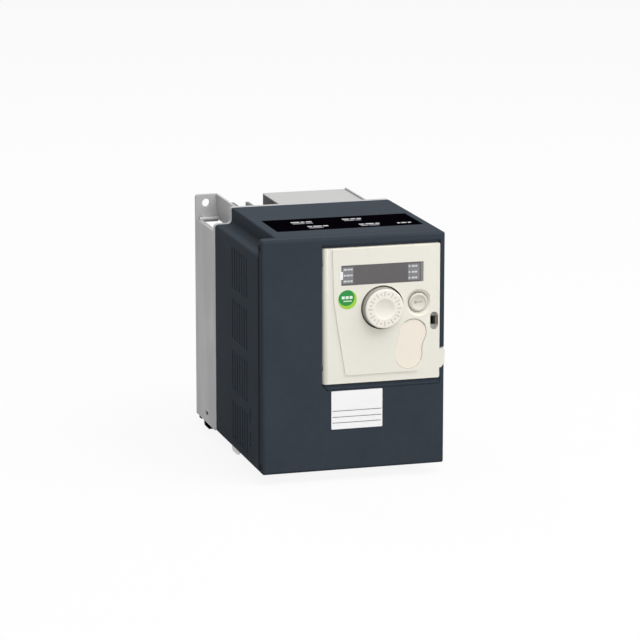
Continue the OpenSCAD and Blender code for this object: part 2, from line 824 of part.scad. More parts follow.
module power_board() {
  color(board_green) on_wall() difference() {
    along_y(power_y, power_back) round_rect([-power_half, power_half], [power_z0, power_z1], 2);
    for (s = [-1, 1], z = standoff_z)
      rod_y(s * standoff_x, z, power_y - over, power_back + over, screw_r + seat_gap);
  }
}

module board_standoffs() {
  color("goldenrod") on_wall() for (s = [-1, 1], z = standoff_z) difference() {
    rod_y(s * standoff_x, z, power_back, sink_y, post_r);
    rod_y(s * standoff_x, z, power_back - over, power_back + 7, screw_r + seat_gap);
  }
}

module board_screws() {
  color("silver") on_wall() for (s = [-1, 1], z = standoff_z)
    screw_y(s * standoff_x, z, power_y, board_t + 5);
}

module bus_capacitors() {
  groove = 0.8;
  r = cap_d / 2;
  can = [[0, 0], [r - 0.4, 0], [r, 0.6], [r, 3], [r - groove, 3.6], [r - groove, 4.4], [r, 5],
         [r, cap_h - 0.8], [r - 0.8, cap_h], [r - 2, cap_h - 0.3], [0, cap_h - 0.3]];
  color([0.13, 0.15, 0.2]) on_wall() for (i = [0:cap_count - 1])
    translate([(i - (cap_count - 1) / 2) * cap_step, power_y, cap_z]) rotate([90, 0, 0])
      rotate_extrude() polygon(can);
}

module filter_choke() {
  plate = choke_d / 2 - 0.5;
  plate_t = 2.4;
  color([0.55, 0.3, 0.14]) on_wall() translate([choke_x, power_y - plate_t - choke_t * 0.46, choke_z])
    rotate([90, 0, 0]) rotate_extrude() translate([choke_d / 2 - choke_t / 2, 0]) circle(r = choke_t / 2);
  color([0.15, 0.15, 0.16]) on_wall() along_y(power_y - plate_t, power_y)
    round_rect([choke_x - plate, choke_x + plate], [choke_z - plate, choke_z + plate], 2);
}

module supply_transformer() {
  flange = 3;
  color([0.2, 0.2, 0.21]) on_wall() {
    block([trafo_x, trafo_x + trafo_w], [power_y - trafo_h + 2, power_y],
          [row_z[0] + flange, row_z[0] + trafo_l - flange]);
    block([trafo_x + flange, trafo_x + trafo_w - flange], [power_y - trafo_h, power_y - 1],
          [row_z[0], row_z[0] + trafo_l]);
  }
}

module relays() {
  color([0.16, 0.3, 0.5]) on_wall() for (i = [0, 1]) {
    x = trafo_x + i * (relay_w + part_gap);
    block([x, x + relay_w], [power_y - relay_h, power_y], [relay_z, relay_z + relay_l]);
  }
}

module current_sensors() {
  color([0.1, 0.1, 0.11]) on_wall() for (i = [-1:1]) difference() {
    x = i * sensor_reach;
    block([x - sensor_w / 2, x + sensor_w / 2], [power_y - sensor_h, power_y], sensor_z);
    rod_z(x, power_y - sensor_h / 2 - 1, sensor_z[0] - over, sensor_z[1] + over, 2.5);
  }
}

module power_terminals() {
  lip = 1.2;
  step = 3;
  color([0.16, 0.17, 0.18]) on_wall() difference() {
    block([-terminal_half, terminal_half], [terminal_front, power_y], terminal_z);
    for (i = [0:pole_count - 1]) {
      x = -terminal_half + (i + 0.5) * pole_step;
      rod_y(x, terminal_z[1] - 8, terminal_front - over, terminal_front + 8, 3.2);
      block([x - pole_step / 2 + lip, x + pole_step / 2 - lip], [terminal_front + 3, terminal_front + 11],
            [terminal_z[0] - over, terminal_z[0] + 5]);
    }
    // Step at the top of the block
    block([-terminal_half - over, terminal_half + over], [terminal_front - over, power_y - 8],
          [terminal_z[1] - step, terminal_z[1] + over]);
  }
}

module power_terminal_screws() {
  color("silver") on_wall() for (i = [0:pole_count - 1]) {
    x = -terminal_half + (i + 0.5) * pole_step;
    translate([x, terminal_front + 8, terminal_z[1] - 8]) rotate([90, 0, 0]) difference() {
      cylinder(r = 3.1, h = 3);
      translate([-4, -0.4, 2.2]) cube([8, 0.8, 1]);
    }
  }
}

module riser_board() {
  color(board_green) on_wall() block([riser_x, riser_x + board_t], [control_back, power_y], riser_z);
}

module control_board() {
  y = [control_y - over, control_back + over];
  color(board_green) on_wall() difference() {
    along_y(control_y, control_back) round_rect([-control_half, control_half], [control_z0, control_z1], 2);
    for (s = [-1, 1], z = control_post_z) rod_y(s * control_post_x, z, y[0], y[1], screw_r + seat_gap);
    // Room for the chassis bosses
    for (s = [-1, 1], z = boss_z) rod_y(s * boss_x, z, y[0], y[1], boss_r + 1.2);
  }
}

module control_standoffs() {
  foot = chassis_y + chassis_t;
  color("goldenrod") on_wall() for (s = [-1, 1], z = control_post_z) difference() {
    rod_y(s * control_post_x, z, foot, control_y, post_r);
    rod_y(s * control_post_x, z, foot + 0.8, control_y + over, screw_r + seat_gap);
  }
}

module control_screws() {
  color("silver") on_wall() for (s = [-1, 1], z = control_post_z)
    screw_y(s * control_post_x, z, control_back, board_t + 3, 1);
}

module control_terminals() {
  x1 = control_x0 + control_row;
  foot = control_row_z[0];
  color([0.12, 0.42, 0.25]) on_wall() difference() {
    union() {
      block([control_x0, x1], [control_front, control_y], control_row_z);
      block([control_x0, x1], [control_front + 4, control_y], [foot - 2, foot + 1]);
    }
    for (i = [0:control_count - 1]) {
      x = control_x0 + (i + 0.5) * control_step;
      rod_y(x, control_row_z[1] - 3.5, control_front - over, control_front + 5, 1.9);
      block([x - 1.5, x + 1.5], [control_front - over, control_front + 7], [foot + 0.8, foot + 3.8]);
    }
  }
}

module control_terminal_screws() {
  color("silver") on_wall() for (i = [0:control_count - 1]) {
    x = control_x0 + (i + 0.5) * control_step;
    translate([x, control_front + 5, control_row_z[1] - 3.5]) rotate([90, 0, 0]) difference() {
      cylinder(r = 1.8, h = 2.6);
      translate([-2, -0.3, 2]) cube([4, 0.6, 1]);
    }
  }
}

module comm_socket() {
  mid = socket_x0 + socket_w / 2;
  side = 2.2;
  key_w = 6;
  y = [control_front - 2, control_y - 2];
  z = [control_row_z[0], control_row_z[1]];
  color([0.1, 0.1, 0.1]) on_wall() difference() {
    block([socket_x0, socket_x0 + socket_w], [control_front - 1, control_y], [z[0] - 2, z[1] + 1]);
    block([socket_x0 + side, socket_x0 + socket_w - side], y, [z[0], z[1] - 2.4]);
    block([mid - key_w / 2, mid + key_w / 2], y, [z[1] - 2.5, z[1] - 0.8]);
  }
}

module inner_chassis() {
  y = [chassis_y - over, chassis_y + chassis_t + over];
  color([0.25, 0.27, 0.3]) on_wall() difference() {
    along_y(chassis_y, chassis_y + chassis_t) intersection() {
      body_profile(wall + seat_gap);
      translate([-half_w, chassis_z0]) square([body_w, body_h]);
    }
    for (s = [-1, 1], z = boss_z) rod_y(s * boss_x, z, y[0], y[1], screw_r + seat_gap);
    // Way for the keypad's plug
    block([header_x()[0] - 1, header_x()[1] + 1], y, [header_z()[0] - 1, header_z()[1] + 1]);
    // Air slots beside the keypad block
    for (z = [chassis_z0 + 14:9:boss_z[1] - 8]) block([-half_w + 16, door_x0 - 4], y, [z, z + 3]);
  }
}

function header_x() = [hmi_x - 10, hmi_x + 10];
function header_z() = [door_z0 + 9, door_z0 + 13];

module chassis_screws() {
  color("dimgray") on_wall() for (s = [-1, 1], z = boss_z) screw_y(s * boss_x, z, chassis_y, chassis_t + 8);
}

// Hinge tongue of the keypad block for the door
module door_tongue(z) {
  ends = [z - door_tongue_t / 2, z + door_tongue_t / 2];
  difference() {
    union() {
      rod_z(axis_x, axis_y, ends[0], ends[1], door_tongue_r);
      block([axis_x - 1.2, axis_x + 1.2], [axis_y, bezel_back], ends);
    }
    rod_z(axis_x, axis_y, z - door_tongue_t, z + door_tongue_t, door_pin_d / 2 + fit);
  }
}

module keypad_bezel() {
  peg_r = 2.4;
  through = [bezel_y - over, bezel_back + over];
  inner_x = [bezel_x0 + bezel_wall, bezel_x1 - bezel_wall];
  inner_z = [bezel_z0 + bezel_wall, bezel_z1 - bezel_wall];
  color([0.86, 0.85, 0.81]) on_wall() {
    difference() {
      union() {
        // Shell, open at the back
        difference() {
          along_y(bezel_y, chassis_y) round_rect([bezel_x0, bezel_x1], [bezel_z0, bezel_z1], 1);
          along_y(bezel_back, chassis_y + over) round_rect(inner_x, inner_z, 0.5);
        }
        for (x = keypad_post_x(), z = keypad_post_z()) rod_y(x, z, bezel_back - 0.1, keypad_y, peg_r);
      }
      // Room for the rounded edge of the door
      rod_z(axis_x, axis_y, bezel_z0 - over, bezel_z1 + over, barrel_r + run_gap + 0.1);
      // Ways for the dial, the keys' stems and the display
      rod_y(dial_x, dial_z, through[0], through[1], dial_hole_r + run_gap);
      for (at = [[key_x, key_z], run_at, stop_at, mode_at])
        rod_y(at.x, at.y, through[0], through[1], stem_d / 2 + fit);
      block([hmi_x - display_w() / 2 - 0.3, hmi_x + display_w() / 2 + 0.3], through,
            [window_z0 + 0.4, window_z1 - 0.4]);
      for (x = keypad_post_x(), z = keypad_post_z()) rod_y(x, z, keypad_y - 5, keypad_y + over, screw_r);
      // Way for the wire of a seal, behind the open middle of the door's slot
      block([seal_x() - seal_w / 2, inner_x[1]], through, [seal_z() - seal_h / 3, seal_z() + seal_h / 3]);
      // Room for the heads of the chassis screws
      for (z = boss_z) rod_y(boss_x, z, chassis_y - head_t - 1, chassis_y + over, head_r + 0.6);
    }
    for (z = door_tongue_z) door_tongue(z);
  }
}

function keypad_post_x() = [bezel_x0 + 9, bezel_x1 - 6];
function keypad_post_z() = [bezel_z0 + 6, bezel_z1 - 5];
function display_w() = window_w - 3;
function seal_x() = door_x1 - 3.25;
function seal_z() = door_z1 - 44.4;

module keypad_board() {
  edge = bezel_wall + 0.5;
  color(board_green) on_wall() difference() {
    along_y(keypad_y, keypad_back)
      round_rect([bezel_x0 + edge, bezel_x1 - edge], [bezel_z0 + edge, bezel_z1 - edge], 1);
    for (x = keypad_post_x(), z = keypad_post_z())
      rod_y(x, z, keypad_y - over, keypad_back + over, screw_r + seat_gap);
  }
}

module keypad_screws() {
  color("silver") on_wall() for (x = keypad_post_x(), z = keypad_post_z())
    screw_y(x, z, keypad_back, board_t + 4, 1);
}

module keypad_header() {
  color([0.1, 0.1, 0.11]) on_wall() block(header_x(), [keypad_back, control_y], header_z());
}

module display_module() {
  color([0.15, 0.14, 0.15]) on_wall()
    block([hmi_x - display_w() / 2, hmi_x + display_w() / 2], [bezel_y + 0.6, keypad_y],
          [window_z0 + 0.7, window_z1 - 0.7]);
}

module encoder_body() {
  half = encoder_w / 2;
  color([0.5, 0.52, 0.54]) on_wall() difference() {
    along_y(keypad_y - encoder_h, keypad_y)
      round_rect([dial_x - half, dial_x + half], [dial_z - half, dial_z + half], 1);
    rod_y(dial_x, dial_z, keypad_y - encoder_h - over, keypad_y + over, sleeve_r + fit);
  }
}

module encoder_rotor() {
  color([0.8, 0.78, 0.7]) on_wall() difference() {
    rod_y(dial_x, dial_z, keypad_y - encoder_h - 0.4, keypad_y - run_gap, sleeve_r);
    rod_y(dial_x, dial_z, keypad_y - encoder_h - over, keypad_y + over, shaft_d / 2 + fit);
  }
}

module tact_switches() {
  half = switch_w / 2;
  for (at = [[key_x, key_z], run_at, stop_at, mode_at]) on_wall() {
    color([0.2, 0.2, 0.21])
      block([at.x - half, at.x + half], [switch_y, keypad_y], [at.y - half, at.y + half]);
    color([0.75, 0.2, 0.15]) rod_y(at.x, at.y, switch_y - plunger, switch_y + 0.1, 1.75);
  }
}

// Dial: a tapered cap with a rounded rim and a dished middle, hollow from behind
module jog_dial() {
  foot = dial_foot_y - dial_face_y;
  face_r = dial_face_d / 2;
  bore_r = shaft_d / 2;
  dish_r = 6;
  dish_d = 1.1;
  rim = 0.9;
  skin = 2.6;
  mark_d = 0.3;
  rim_arc = [for (a = [0:18:90]) [face_r - rim + rim * sin(a), -rim + rim * cos(a)]];
  dish_arc = [for (i = [0:8]) let (x = dish_r * i / 8) [x, -dish_d * (1 - pow(x / dish_r, 2))]];
  color([0.93, 0.92, 0.88]) on_wall() translate([dial_x, dial_face_y, dial_z]) rotate([90, 0, 0])
    difference() {
      rotate_extrude() polygon(concat(dish_arc, rim_arc,
        [[dial_d / 2, -foot], [dial_d / 2 - 2, -foot], [face_r - 2.2, -skin], [bore_r + 1.6, -skin],
         [bore_r + 1.6, -foot], [0, -foot]]));
      translate([0, 0, -foot - over]) cylinder(r = bore_r + 0.01, h = foot - skin + over);
      // Tick marks round the face, with dots between them
      for (i = [0:11]) rotate(i * 30) {
        translate([dish_r + 1.2, -0.2, -mark_d]) cube([2.6, 0.4, 1]);
        rotate(15) translate([dish_r + 2.5, 0, -mark_d]) cylinder(r = 0.45, h = 1, $fn = 16);
      }
    }
}

module dial_shaft() {
  color("silver") on_wall()
    rod_y(dial_x, dial_z, dial_face_y + 2.6, keypad_y - press - run_gap, shaft_d / 2);
}

// Key with a dished cap and a stem through the plate of the keypad block
module press_key(at, top_y, under_y, d, dish) {
  rise = under_y - top_y;
  rim = 0.6;
  arc = [for (i = [0:6]) let (x = (d / 2 - 1.6) * i / 6) [x, -dish * (1 - pow(i / 6, 2))]];
  translate([at.x, top_y, at.y]) rotate([90, 0, 0]) {
    rotate_extrude() polygon(concat(arc,
      [[d / 2 - rim, 0], [d / 2 - rim * 0.3, -rim * 0.3], [d / 2, -rim], [d / 2, -rise], [0, -rise]]));
    translate([0, 0, top_y - stem_end]) cylinder(r = stem_d / 2, h = stem_end - under_y + 0.1);
  }
}

module escape_key() {
  color([0.87, 0.86, 0.81]) on_wall() press_key([key_x, key_z], door_y - 0.2, door_back + 1.6, key_d, 0.7);
}
module run_key() {
  color([0.25, 0.6, 0.3]) on_wall() press_key(run_at, cap_under - cap_t, cap_under, inner_key_d, 0.4);
}
module stop_key() {
  color([0.75, 0.2, 0.16]) on_wall() press_key(stop_at, cap_under - cap_t, cap_under, inner_key_d, 0.4);
}
module mode_key() {
  color([0.3, 0.32, 0.35]) on_wall() press_key(mode_at, cap_under - cap_t, cap_under, mode_key_d, 0.3);
}

// Outline of the blanking piece: two lobes, straight on the left and waisted on the right
module blank_profile(shrink = 0) {
  r = blank_r - shrink;
  span = norm(run_at - stop_at);
  u = unit(run_at - stop_at);
  right = [u.y, -u.x];
  draw = blank_r - blank_waist;
  bend = (span * span / 4 + draw * draw - blank_r * blank_r) / (2 * (blank_r - draw));
  centre = (run_at + stop_at) / 2 + right * (draw + bend);
  translate(run_at) circle(r = r);
  translate(stop_at) circle(r = r);
  difference() {
    polygon([run_at - right * r, stop_at - right * r, stop_at, stop_at + unit(centre - stop_at) * r,
             run_at + unit(centre - run_at) * r, run_at]);
    translate(centre) circle(r = bend + shrink, $fn = 96);
  }
}

// Shield-shaped outline that tapers towards the foot, in line with the dial
module shield_profile() {
  knee = shield_top - 0.8;
  top = door_z1 - 0.6;
  foot = door_z0 + shield_z;
  bend_z = top - 30;
  polygon(rounded(
    [[hmi_x - shield_foot, foot], [hmi_x + shield_foot, foot], [hmi_x + knee, bend_z],
     [hmi_x + shield_top, top], [hmi_x - shield_top, top], [hmi_x - knee, bend_z]],
    [1.6, 1.6, 60, 0.4, 0.4, 60], 8));
}

// Oval slot for a seal, scooped so that it opens right through in its middle
module sealing_slot() {
  half = seal_h / 2;
  side = [seal_x() - seal_w / 2, seal_x() + seal_w / 2];
  depth = door_t + 0.5;
  scoop = (half * half + depth * depth) / (2 * depth);
  intersection() {
    along_y(shield_y - over, door_back + over)
      round_rect(side, [seal_z() - half, seal_z() + half], seal_w / 2 - 0.1);
    union() {
      translate([seal_x() - seal_w, door_y + depth - scoop, seal_z()]) rotate([0, 90, 0])
        cylinder(r = scoop, h = 2 * seal_w, $fn = 96);
      block([seal_x() - seal_w, seal_x() + seal_w], [shield_y - 2 * over, door_y],
            [seal_z() - half, seal_z() + half]);
    }
  }
}

module keypad_door() {
  ledge = 1;
  ledge_t = 0.9;
  through = [shield_y - over, door_back + over];
  slot = door_slot() / 2;
  tab = [tab_z(), tab_z() + tab_h];
  window_half = window_w / 2;
  color(beige) on_wall() difference() {
    union() {
      // Skin with a rounded hinge edge, a raised shield and a finger tab
      along_y(door_y, door_back) round_rect([axis_x, door_x1], [door_z0, door_z1], 0.8);
      block([axis_x, axis_x + 4], [door_y, door_back], [door_z0, door_z1]);
      rod_z(axis_x, axis_y, door_z0, door_z1, barrel_r);
      along_y(shield_y, door_y + 0.1) shield_profile();
      along_y(door_y, door_back) polygon(rounded(
        [[door_x1 - over, tab[0]], [door_x1 + tab_reach / 3, tab[0]],
         [door_x1 + tab_reach, tab[0] + tab_h / 4], [door_x1 + tab_reach, tab[1]],
         [door_x1 - over, tab[1]]], [0, 0.6, 0.6, 0.6, 0]));
      // Skirt towards the keypad block
      difference() {
        along_y(door_back - 0.1, skirt_y) round_rect([axis_x, door_x1], [door_z0, door_z1], 0.8);
        block([axis_x - over, door_x1 - door_skirt], [door_back - over, skirt_y + over],
              [door_z0 + door_skirt, door_z1 - door_skirt]);
      }
    }
    // Slots for the hinge tongues, and the pins' holes
    for (z = door_tongue_z) {
      rod_z(axis_x, axis_y, z - slot, z + slot, door_tongue_r + run_gap);
      block([axis_x - barrel_r - over, axis_x + 1.5], [axis_y - 1.5, axis_y + barrel_r + over],
            [z - slot, z + slot]);
      rod_z(axis_x, axis_y, z - slot - door_pin_hold, z + slot + door_pin_hold, door_pin_d / 2 + 0.01);
    }
    // Dial hole, and the dished recess and hole of the escape key
    rod_y(dial_x, dial_z, through[0], through[1], dial_hole_r);
    translate([key_x, shield_y, key_z]) rotate([-90, 0, 0])
      cylinder(r1 = key_recess_d / 2, r2 = key_d / 2 + run_gap, h = shield_rise + door_t * 0.6);
    rod_y(key_x, key_z, through[0], through[1], key_d / 2 + run_gap + 0.05);
    // Seat of the window, and the opening behind it
    block([hmi_x - window_half, hmi_x + window_half], [shield_y - over, shield_y + window_t],
          [window_z0, window_z1]);
    block([hmi_x - window_half + window_rim, hmi_x + window_half - window_rim], through,
          [window_z0 + window_rim, window_z1 - window_rim]);
    // Seat of the blanking piece, and the opening behind it
    along_y(shield_y - over, door_back - ledge_t) blank_profile();
    along_y(shield_y - over, door_back + over) blank_profile(ledge);
    sealing_slot();
  }
}

function door_slot() = door_tongue_t + 2 * run_gap;
function tab_z() = door_z0 + 5.7;

module door_pins() {
  reach = door_slot() / 2 + door_pin_hold;
  color("silver") on_wall() for (z = door_tongue_z)
    rod_z(axis_x, axis_y, z - reach, z + reach, door_pin_d / 2);
}

module display_window() {
  color([0.41, 0.4, 0.41]) on_wall() {
    block([hmi_x - window_w / 2 + 0.05, hmi_x + window_w / 2 - 0.05], [shield_y + 0.1, shield_y + window_t],
          [window_z0 + 0.05, window_z1 - 0.05]);
  }
}

module key_blank() {
  color([0.94, 0.91, 0.87]) on_wall()
    along_y(shield_y + blank_sink, door_back - 0.9) blank_profile(blank_gap);
}

module round_sticker() {
  color([0, 0.55, 0.2]) on_wall()
    rod_y(hmi_x - 20.4, door_z1 - 29.2, shield_y - 0.15, shield_y, sticker_r);
}

// Outline of the cover from above or from the side, with rounded front corners
module soft_front(x) {
  translate([x[0], front_y + edge_r]) square([x[1] - x[0], cover_d]);
  translate([x[0] + edge_r, front_y]) square([x[1] - x[0] - 2 * edge_r, cover_d]);
  for (cx = [x[0] + edge_r, x[1] - edge_r]) translate([cx, front_y + edge_r]) circle(r = edge_r);
}

module front_cover() {
  ax0 = door_x0 - hinge_gap;
  ax1 = door_x1 + swing_gap;
  az0 = door_z0 - run_gap;
  az1 = door_z1 + run_gap;
  low = az0 - bevel_low;
  rim = 2;
  slot = tongue_t / 2 + run_gap;
  reach = slot + pin_hold();
  depth = [front_y - over, cover_back_y + over];
  tab = [tab_z() - 0.6, tab_z() + tab_h + 0.6];
  rib_y = [front_y + 1, front_y + cover_skin + rib_h];
  color(navy) on_wall() difference() {
    intersection() {
      // Outer form with rounded front edges
      along_y(front_y, cover_back_y) round_rect([-half_w, half_w], [0, body_h], edge_r);
      translate([0, 0, -over]) linear_extrude(body_h + 2 * over) soft_front([-half_w, half_w]);
      rotate([90, 0, 90]) translate([0, 0, -half_w - over]) linear_extrude(body_w + 2 * over)
        rotate(90) mirror([0, 1]) soft_front([0, body_h]);
      union() {
        difference() {
          block([-half_w, half_w], [front_y, cover_back_y], [0, body_h]);
          block([-half_w + cover_skin, half_w - cover_skin], [front_y + cover_skin, cover_back_y + over],
                [cover_skin, body_h - cover_skin]);
        }
        // Rim of the opening for the keypad block
        block([ax0 - rim, half_w], [front_y, cover_back_y], [low - rim, body_h]);
        // Solid ends of the hinge
        for (z = tongue_z)
          block([-half_w, pin_x + tongue_r + 3], [front_y, cover_back_y], [z - slot - 3, z + slot + 3]);
        // Stiffening ribs behind the skin
        for (z = [low * 0.32, low * 0.62])
          block([-half_w + cover_skin - 0.1, half_w - cover_skin + 0.1], rib_y, [z - 0.6, z + 0.6]);
        for (z = [az0 + door_h * 0.25, az0 + door_h * 0.7])
          block([-half_w + cover_skin - 0.1, ax0 - rim + 0.1], rib_y, [z - 0.6, z + 0.6]);
        block([-0.6, 0.6], rib_y, [cover_skin - 0.1, low - rim + 0.1]);
      }
    }
    // Opening for the keypad block, with bevels above and below
    block([ax0, ax1], depth, [az0, az1]);
    along_x(ax0, ax1) polygon([
      [front_y - over, az1 - over], [front_y - over, az1 + bevel_top], [front_y, az1 + bevel_top],
      [front_y + bevel_d, az1], [front_y + bevel_d, az1 - over]]);
    intersection() {
      along_x(ax0, ax1) polygon([
        [front_y - over, az0 + over], [front_y - over, low], [front_y, low],
        [front_y + bevel_d, az0], [front_y + bevel_d, az0 + over]]);
      along_y(front_y - 2 * over, front_y + bevel_d + over) polygon([
        [ax0, az0 + over], [ax0, az0], [ax0 + bevel_low * 0.9, low], [ax1, low], [ax1, az0 + over]]);
    }
    // Notch for the finger tab of the door, with the tab's bevel at its foot
    along_y(depth[0], depth[1]) polygon([
      [ax1 - over, tab[0]], [door_x1 + tab_reach / 3, tab[0]], [door_x1 + tab_reach, tab[0] + tab_h / 4],
      [half_w + 2 * over, tab[0] + tab_h / 4], [half_w + 2 * over, tab[1]], [ax1 - over, tab[1]]]);
    // Slots for the hinge tongues, and the pins' holes
    for (z = tongue_z) {
      rod_z(pin_x, pin_y, z - slot, z + slot, tongue_r + run_gap);
      block([-half_w - over, pin_x + 1.8], [pin_y - 2.4, cover_back_y + over], [z - slot, z + slot]);
      rod_z(pin_x, pin_y, z - reach, z + reach, pin_d / 2 + 0.01);
    }
    // Rounded back edge that lets the cover turn past the housing
    difference() {
      block([-half_w - over, pin_x], [pin_y, cover_back_y + over], [-over, body_h + over]);
      rod_z(pin_x, pin_y, -2 * over, body_h + 2 * over, min(cover_barrel_r, pin_side));
      block([-half_w, pin_x], [pin_y - over, pin_y + 0.4], [-2 * over, body_h + 2 * over]);
    }
  }
}

function pin_hold() = 2.2;

module cover_pins() {
  h = tongue_t + 2 * run_gap + 2 * pin_hold();
  color("silver") on_wall() for (z = tongue_z) rod_z(pin_x, pin_y, z - h / 2, z + h / 2, pin_d / 2);
}

module rating_plate() {
  x0 = door_x0 + 5;
  z1 = door_z0 - run_gap - bevel_low - 0.2;
  color("whitesmoke") on_wall() along_y(front_y - plate_t, front_y)
    round_rect([x0, x0 + plate_w], [z1 - plate_h, z1], 0.5);
}

heatsink();
filter_can();
fan_frame();
fan_rotor();
housing();
housing_screws();
vent_strip();
earth_tab();
earth_screw();
thermal_pad();
power_module();
power_board();
board_standoffs();
board_screws();
bus_capacitors();
filter_choke();
supply_transformer();
relays();
current_sensors();
power_terminals();
power_terminal_screws();
riser_board();
control_board();
control_standoffs();
control_screws();
control_terminals();
control_terminal_screws();
comm_socket();
inner_chassis();
chassis_screws();
keypad_bezel();
keypad_board();
keypad_screws();
keypad_header();
display_module();
encoder_body();
encoder_rotor();
tact_switches();
jog_dial();
dial_shaft();
escape_key();
run_key();
stop_key();
mode_key();
keypad_door();
door_pins();
display_window();
key_blank();
round_sticker();
front_cover();
cover_pins();
rating_plate();
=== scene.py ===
"""Dresses a compact wall-mounted motor drive: finishes, printed marks, board parts and a studio."""

import logging
import math
from dataclasses import dataclass, field, replace
from enum import Enum
from typing import Protocol, Sequence, Union

import bmesh
import bpy
from mathutils import Matrix, Vector


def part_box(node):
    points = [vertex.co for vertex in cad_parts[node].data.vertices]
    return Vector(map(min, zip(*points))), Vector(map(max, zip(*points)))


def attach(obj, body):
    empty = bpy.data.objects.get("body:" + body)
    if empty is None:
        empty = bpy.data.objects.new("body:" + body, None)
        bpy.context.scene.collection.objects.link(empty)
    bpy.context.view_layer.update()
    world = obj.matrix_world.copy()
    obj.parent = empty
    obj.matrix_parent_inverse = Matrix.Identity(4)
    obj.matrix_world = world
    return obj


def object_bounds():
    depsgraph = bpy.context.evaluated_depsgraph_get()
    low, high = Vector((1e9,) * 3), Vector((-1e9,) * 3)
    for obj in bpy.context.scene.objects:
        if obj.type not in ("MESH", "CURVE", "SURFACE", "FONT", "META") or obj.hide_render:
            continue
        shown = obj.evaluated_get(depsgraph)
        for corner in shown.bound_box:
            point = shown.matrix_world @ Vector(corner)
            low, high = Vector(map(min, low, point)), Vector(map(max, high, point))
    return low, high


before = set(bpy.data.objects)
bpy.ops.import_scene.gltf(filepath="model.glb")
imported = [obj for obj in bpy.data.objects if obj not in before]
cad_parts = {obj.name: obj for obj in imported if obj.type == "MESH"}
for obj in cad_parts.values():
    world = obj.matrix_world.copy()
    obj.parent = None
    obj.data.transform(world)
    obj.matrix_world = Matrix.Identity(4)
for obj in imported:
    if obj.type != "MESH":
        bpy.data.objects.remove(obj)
CAD_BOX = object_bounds()

LOG = logging.getLogger("drive")
MM = 0.001
WELD = 0.001 * MM

Colour = tuple[float, float, float]
Pair = tuple[float, float]
Bar = tuple[float, float, float, float]
Value = Union["Wire", float, int, tuple]

UNLIT: Colour = (0.0, 0.0, 0.0)
SOFT_SPOTS: Pair = (0.3, 0.7)
FINE_GRAIN = 0.35 * MM
IVORY_TONES: Pair = (0.985, 1.01)
IVORY_DEPTH = 0.004 * MM


def linear(part: int) -> float:
    """Turns one display value from 0 to 255 into a linear share."""
    share = part / 255
    return share / 12.92 if share <= 0.04045 else ((share + 0.055) / 1.055) ** 2.4


def srgb(red: int, green: int, blue: int) -> Colour:
    """Turns a colour in display values from 0 to 255 into a linear one.

    Args:
        red: Red part.
        green: Green part.
        blue: Blue part.

    Returns:
        The linear colour that a shader takes.
    """
    return linear(red), linear(green), linear(blue)


def shaded(colour: Colour, share: float) -> Colour:
    """Scales a colour's brightness.

    Args:
        colour: Linear colour.
        share: Factor, above 1 for lighter.

    Returns:
        The scaled colour.
    """
    return tuple(min(1.0, part * share) for part in colour)


def centre_of(node: str) -> Pair:
    """Middle of a solid's box, across and up."""
    low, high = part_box(node)
    return (low.x + high.x) / 2, (low.z + high.z) / 2


def radius_of(node: str) -> float:
    """Half the width of a solid's box."""
    low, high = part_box(node)
    return (high.x - low.x) / 2


class Wire:
    """A shader socket that takes part in Python expressions."""

    def __init__(self, shade: "Shade", socket: bpy.types.NodeSocket) -> None:
        """Keeps the material that the socket belongs to, and the socket."""
        self.shade = shade
        self.socket = socket

    def _math(self, operation: str, first: Value, second: Value = 0.0) -> "Wire":
        """Adds one Math node.

        Args:
            operation: The node's operation.
            first: Its first value.
            second: Its second value.

        Returns:
            The node's result.
        """
        return self.shade.node("ShaderNodeMath", {"operation": operation}, {0: first, 1: second})

    def __add__(self, other: Value) -> "Wire":
        """Sum."""
        return self._math("ADD", self, other)

    def __radd__(self, other: Value) -> "Wire":
        """Sum with a number on the left."""
        return self._math("ADD", other, self)

    def __sub__(self, other: Value) -> "Wire":
        """Difference."""
        return self._math("SUBTRACT", self, other)

    def __rsub__(self, other: Value) -> "Wire":
        """Difference from a number on the left."""
        return self._math("SUBTRACT", other, self)

    def __mul__(self, other: Value) -> "Wire":
        """Product."""
        return self._math("MULTIPLY", self, other)

    def __rmul__(self, other: Value) -> "Wire":
        """Product with a number on the left."""
        return self._math("MULTIPLY", other, self)

    def __truediv__(self, other: Value) -> "Wire":
        """Quotient."""
        return self._math("DIVIDE", self, other)

    def __rtruediv__(self, other: Value) -> "Wire":
        """Quotient of a number on the left."""
        return self._math("DIVIDE", other, self)

    def __pow__(self, other: Value) -> "Wire":
        """Power."""
        return self._math("POWER", self, other)

    def __gt__(self, other: Value) -> "Wire":
        """1 where this is the greater, else 0."""
        return self._math("GREATER_THAN", self, other)

    def __lt__(self, other: Value) -> "Wire":
        """1 where this is the smaller, else 0."""
        return self._math("LESS_THAN", self, other)

    def __mod__(self, other: Value) -> "Wire":
        """Remainder that never goes below 0."""
        return self._math("FLOORED_MODULO", self, other)

    def __abs__(self) -> "Wire":
        """Size without its sign."""
        return self._math("ABSOLUTE", self)

    def angle(self, across: "Wire") -> "Wire":
        """Angle of a point that lies this high and so far across, in radians."""
        return self._math("ARCTAN2", self, across)

    def about(self, middle: Value, spread: float) -> "Wire":
        """Lets a noise vary a value.

        Args:
            middle: The value where the noise is 0.5.
            spread: How far apart noises of 0 and 1 lie.

        Returns:
            The varied value.
        """
        return middle + (self - 0.5) * spread

    def rise(self, low: float, high: float) -> "Wire":
        """Runs smoothly from 0 at low to 1 at high.

        Args:
            low: Value that gives 0.
            high: Value that gives 1.

        Returns:
            The smooth step.
        """
        return self.shade.node(
            "ShaderNodeMapRange", {"interpolation_type": "SMOOTHSTEP"},
            {"Value": self, "From Min": low, "From Max": high})


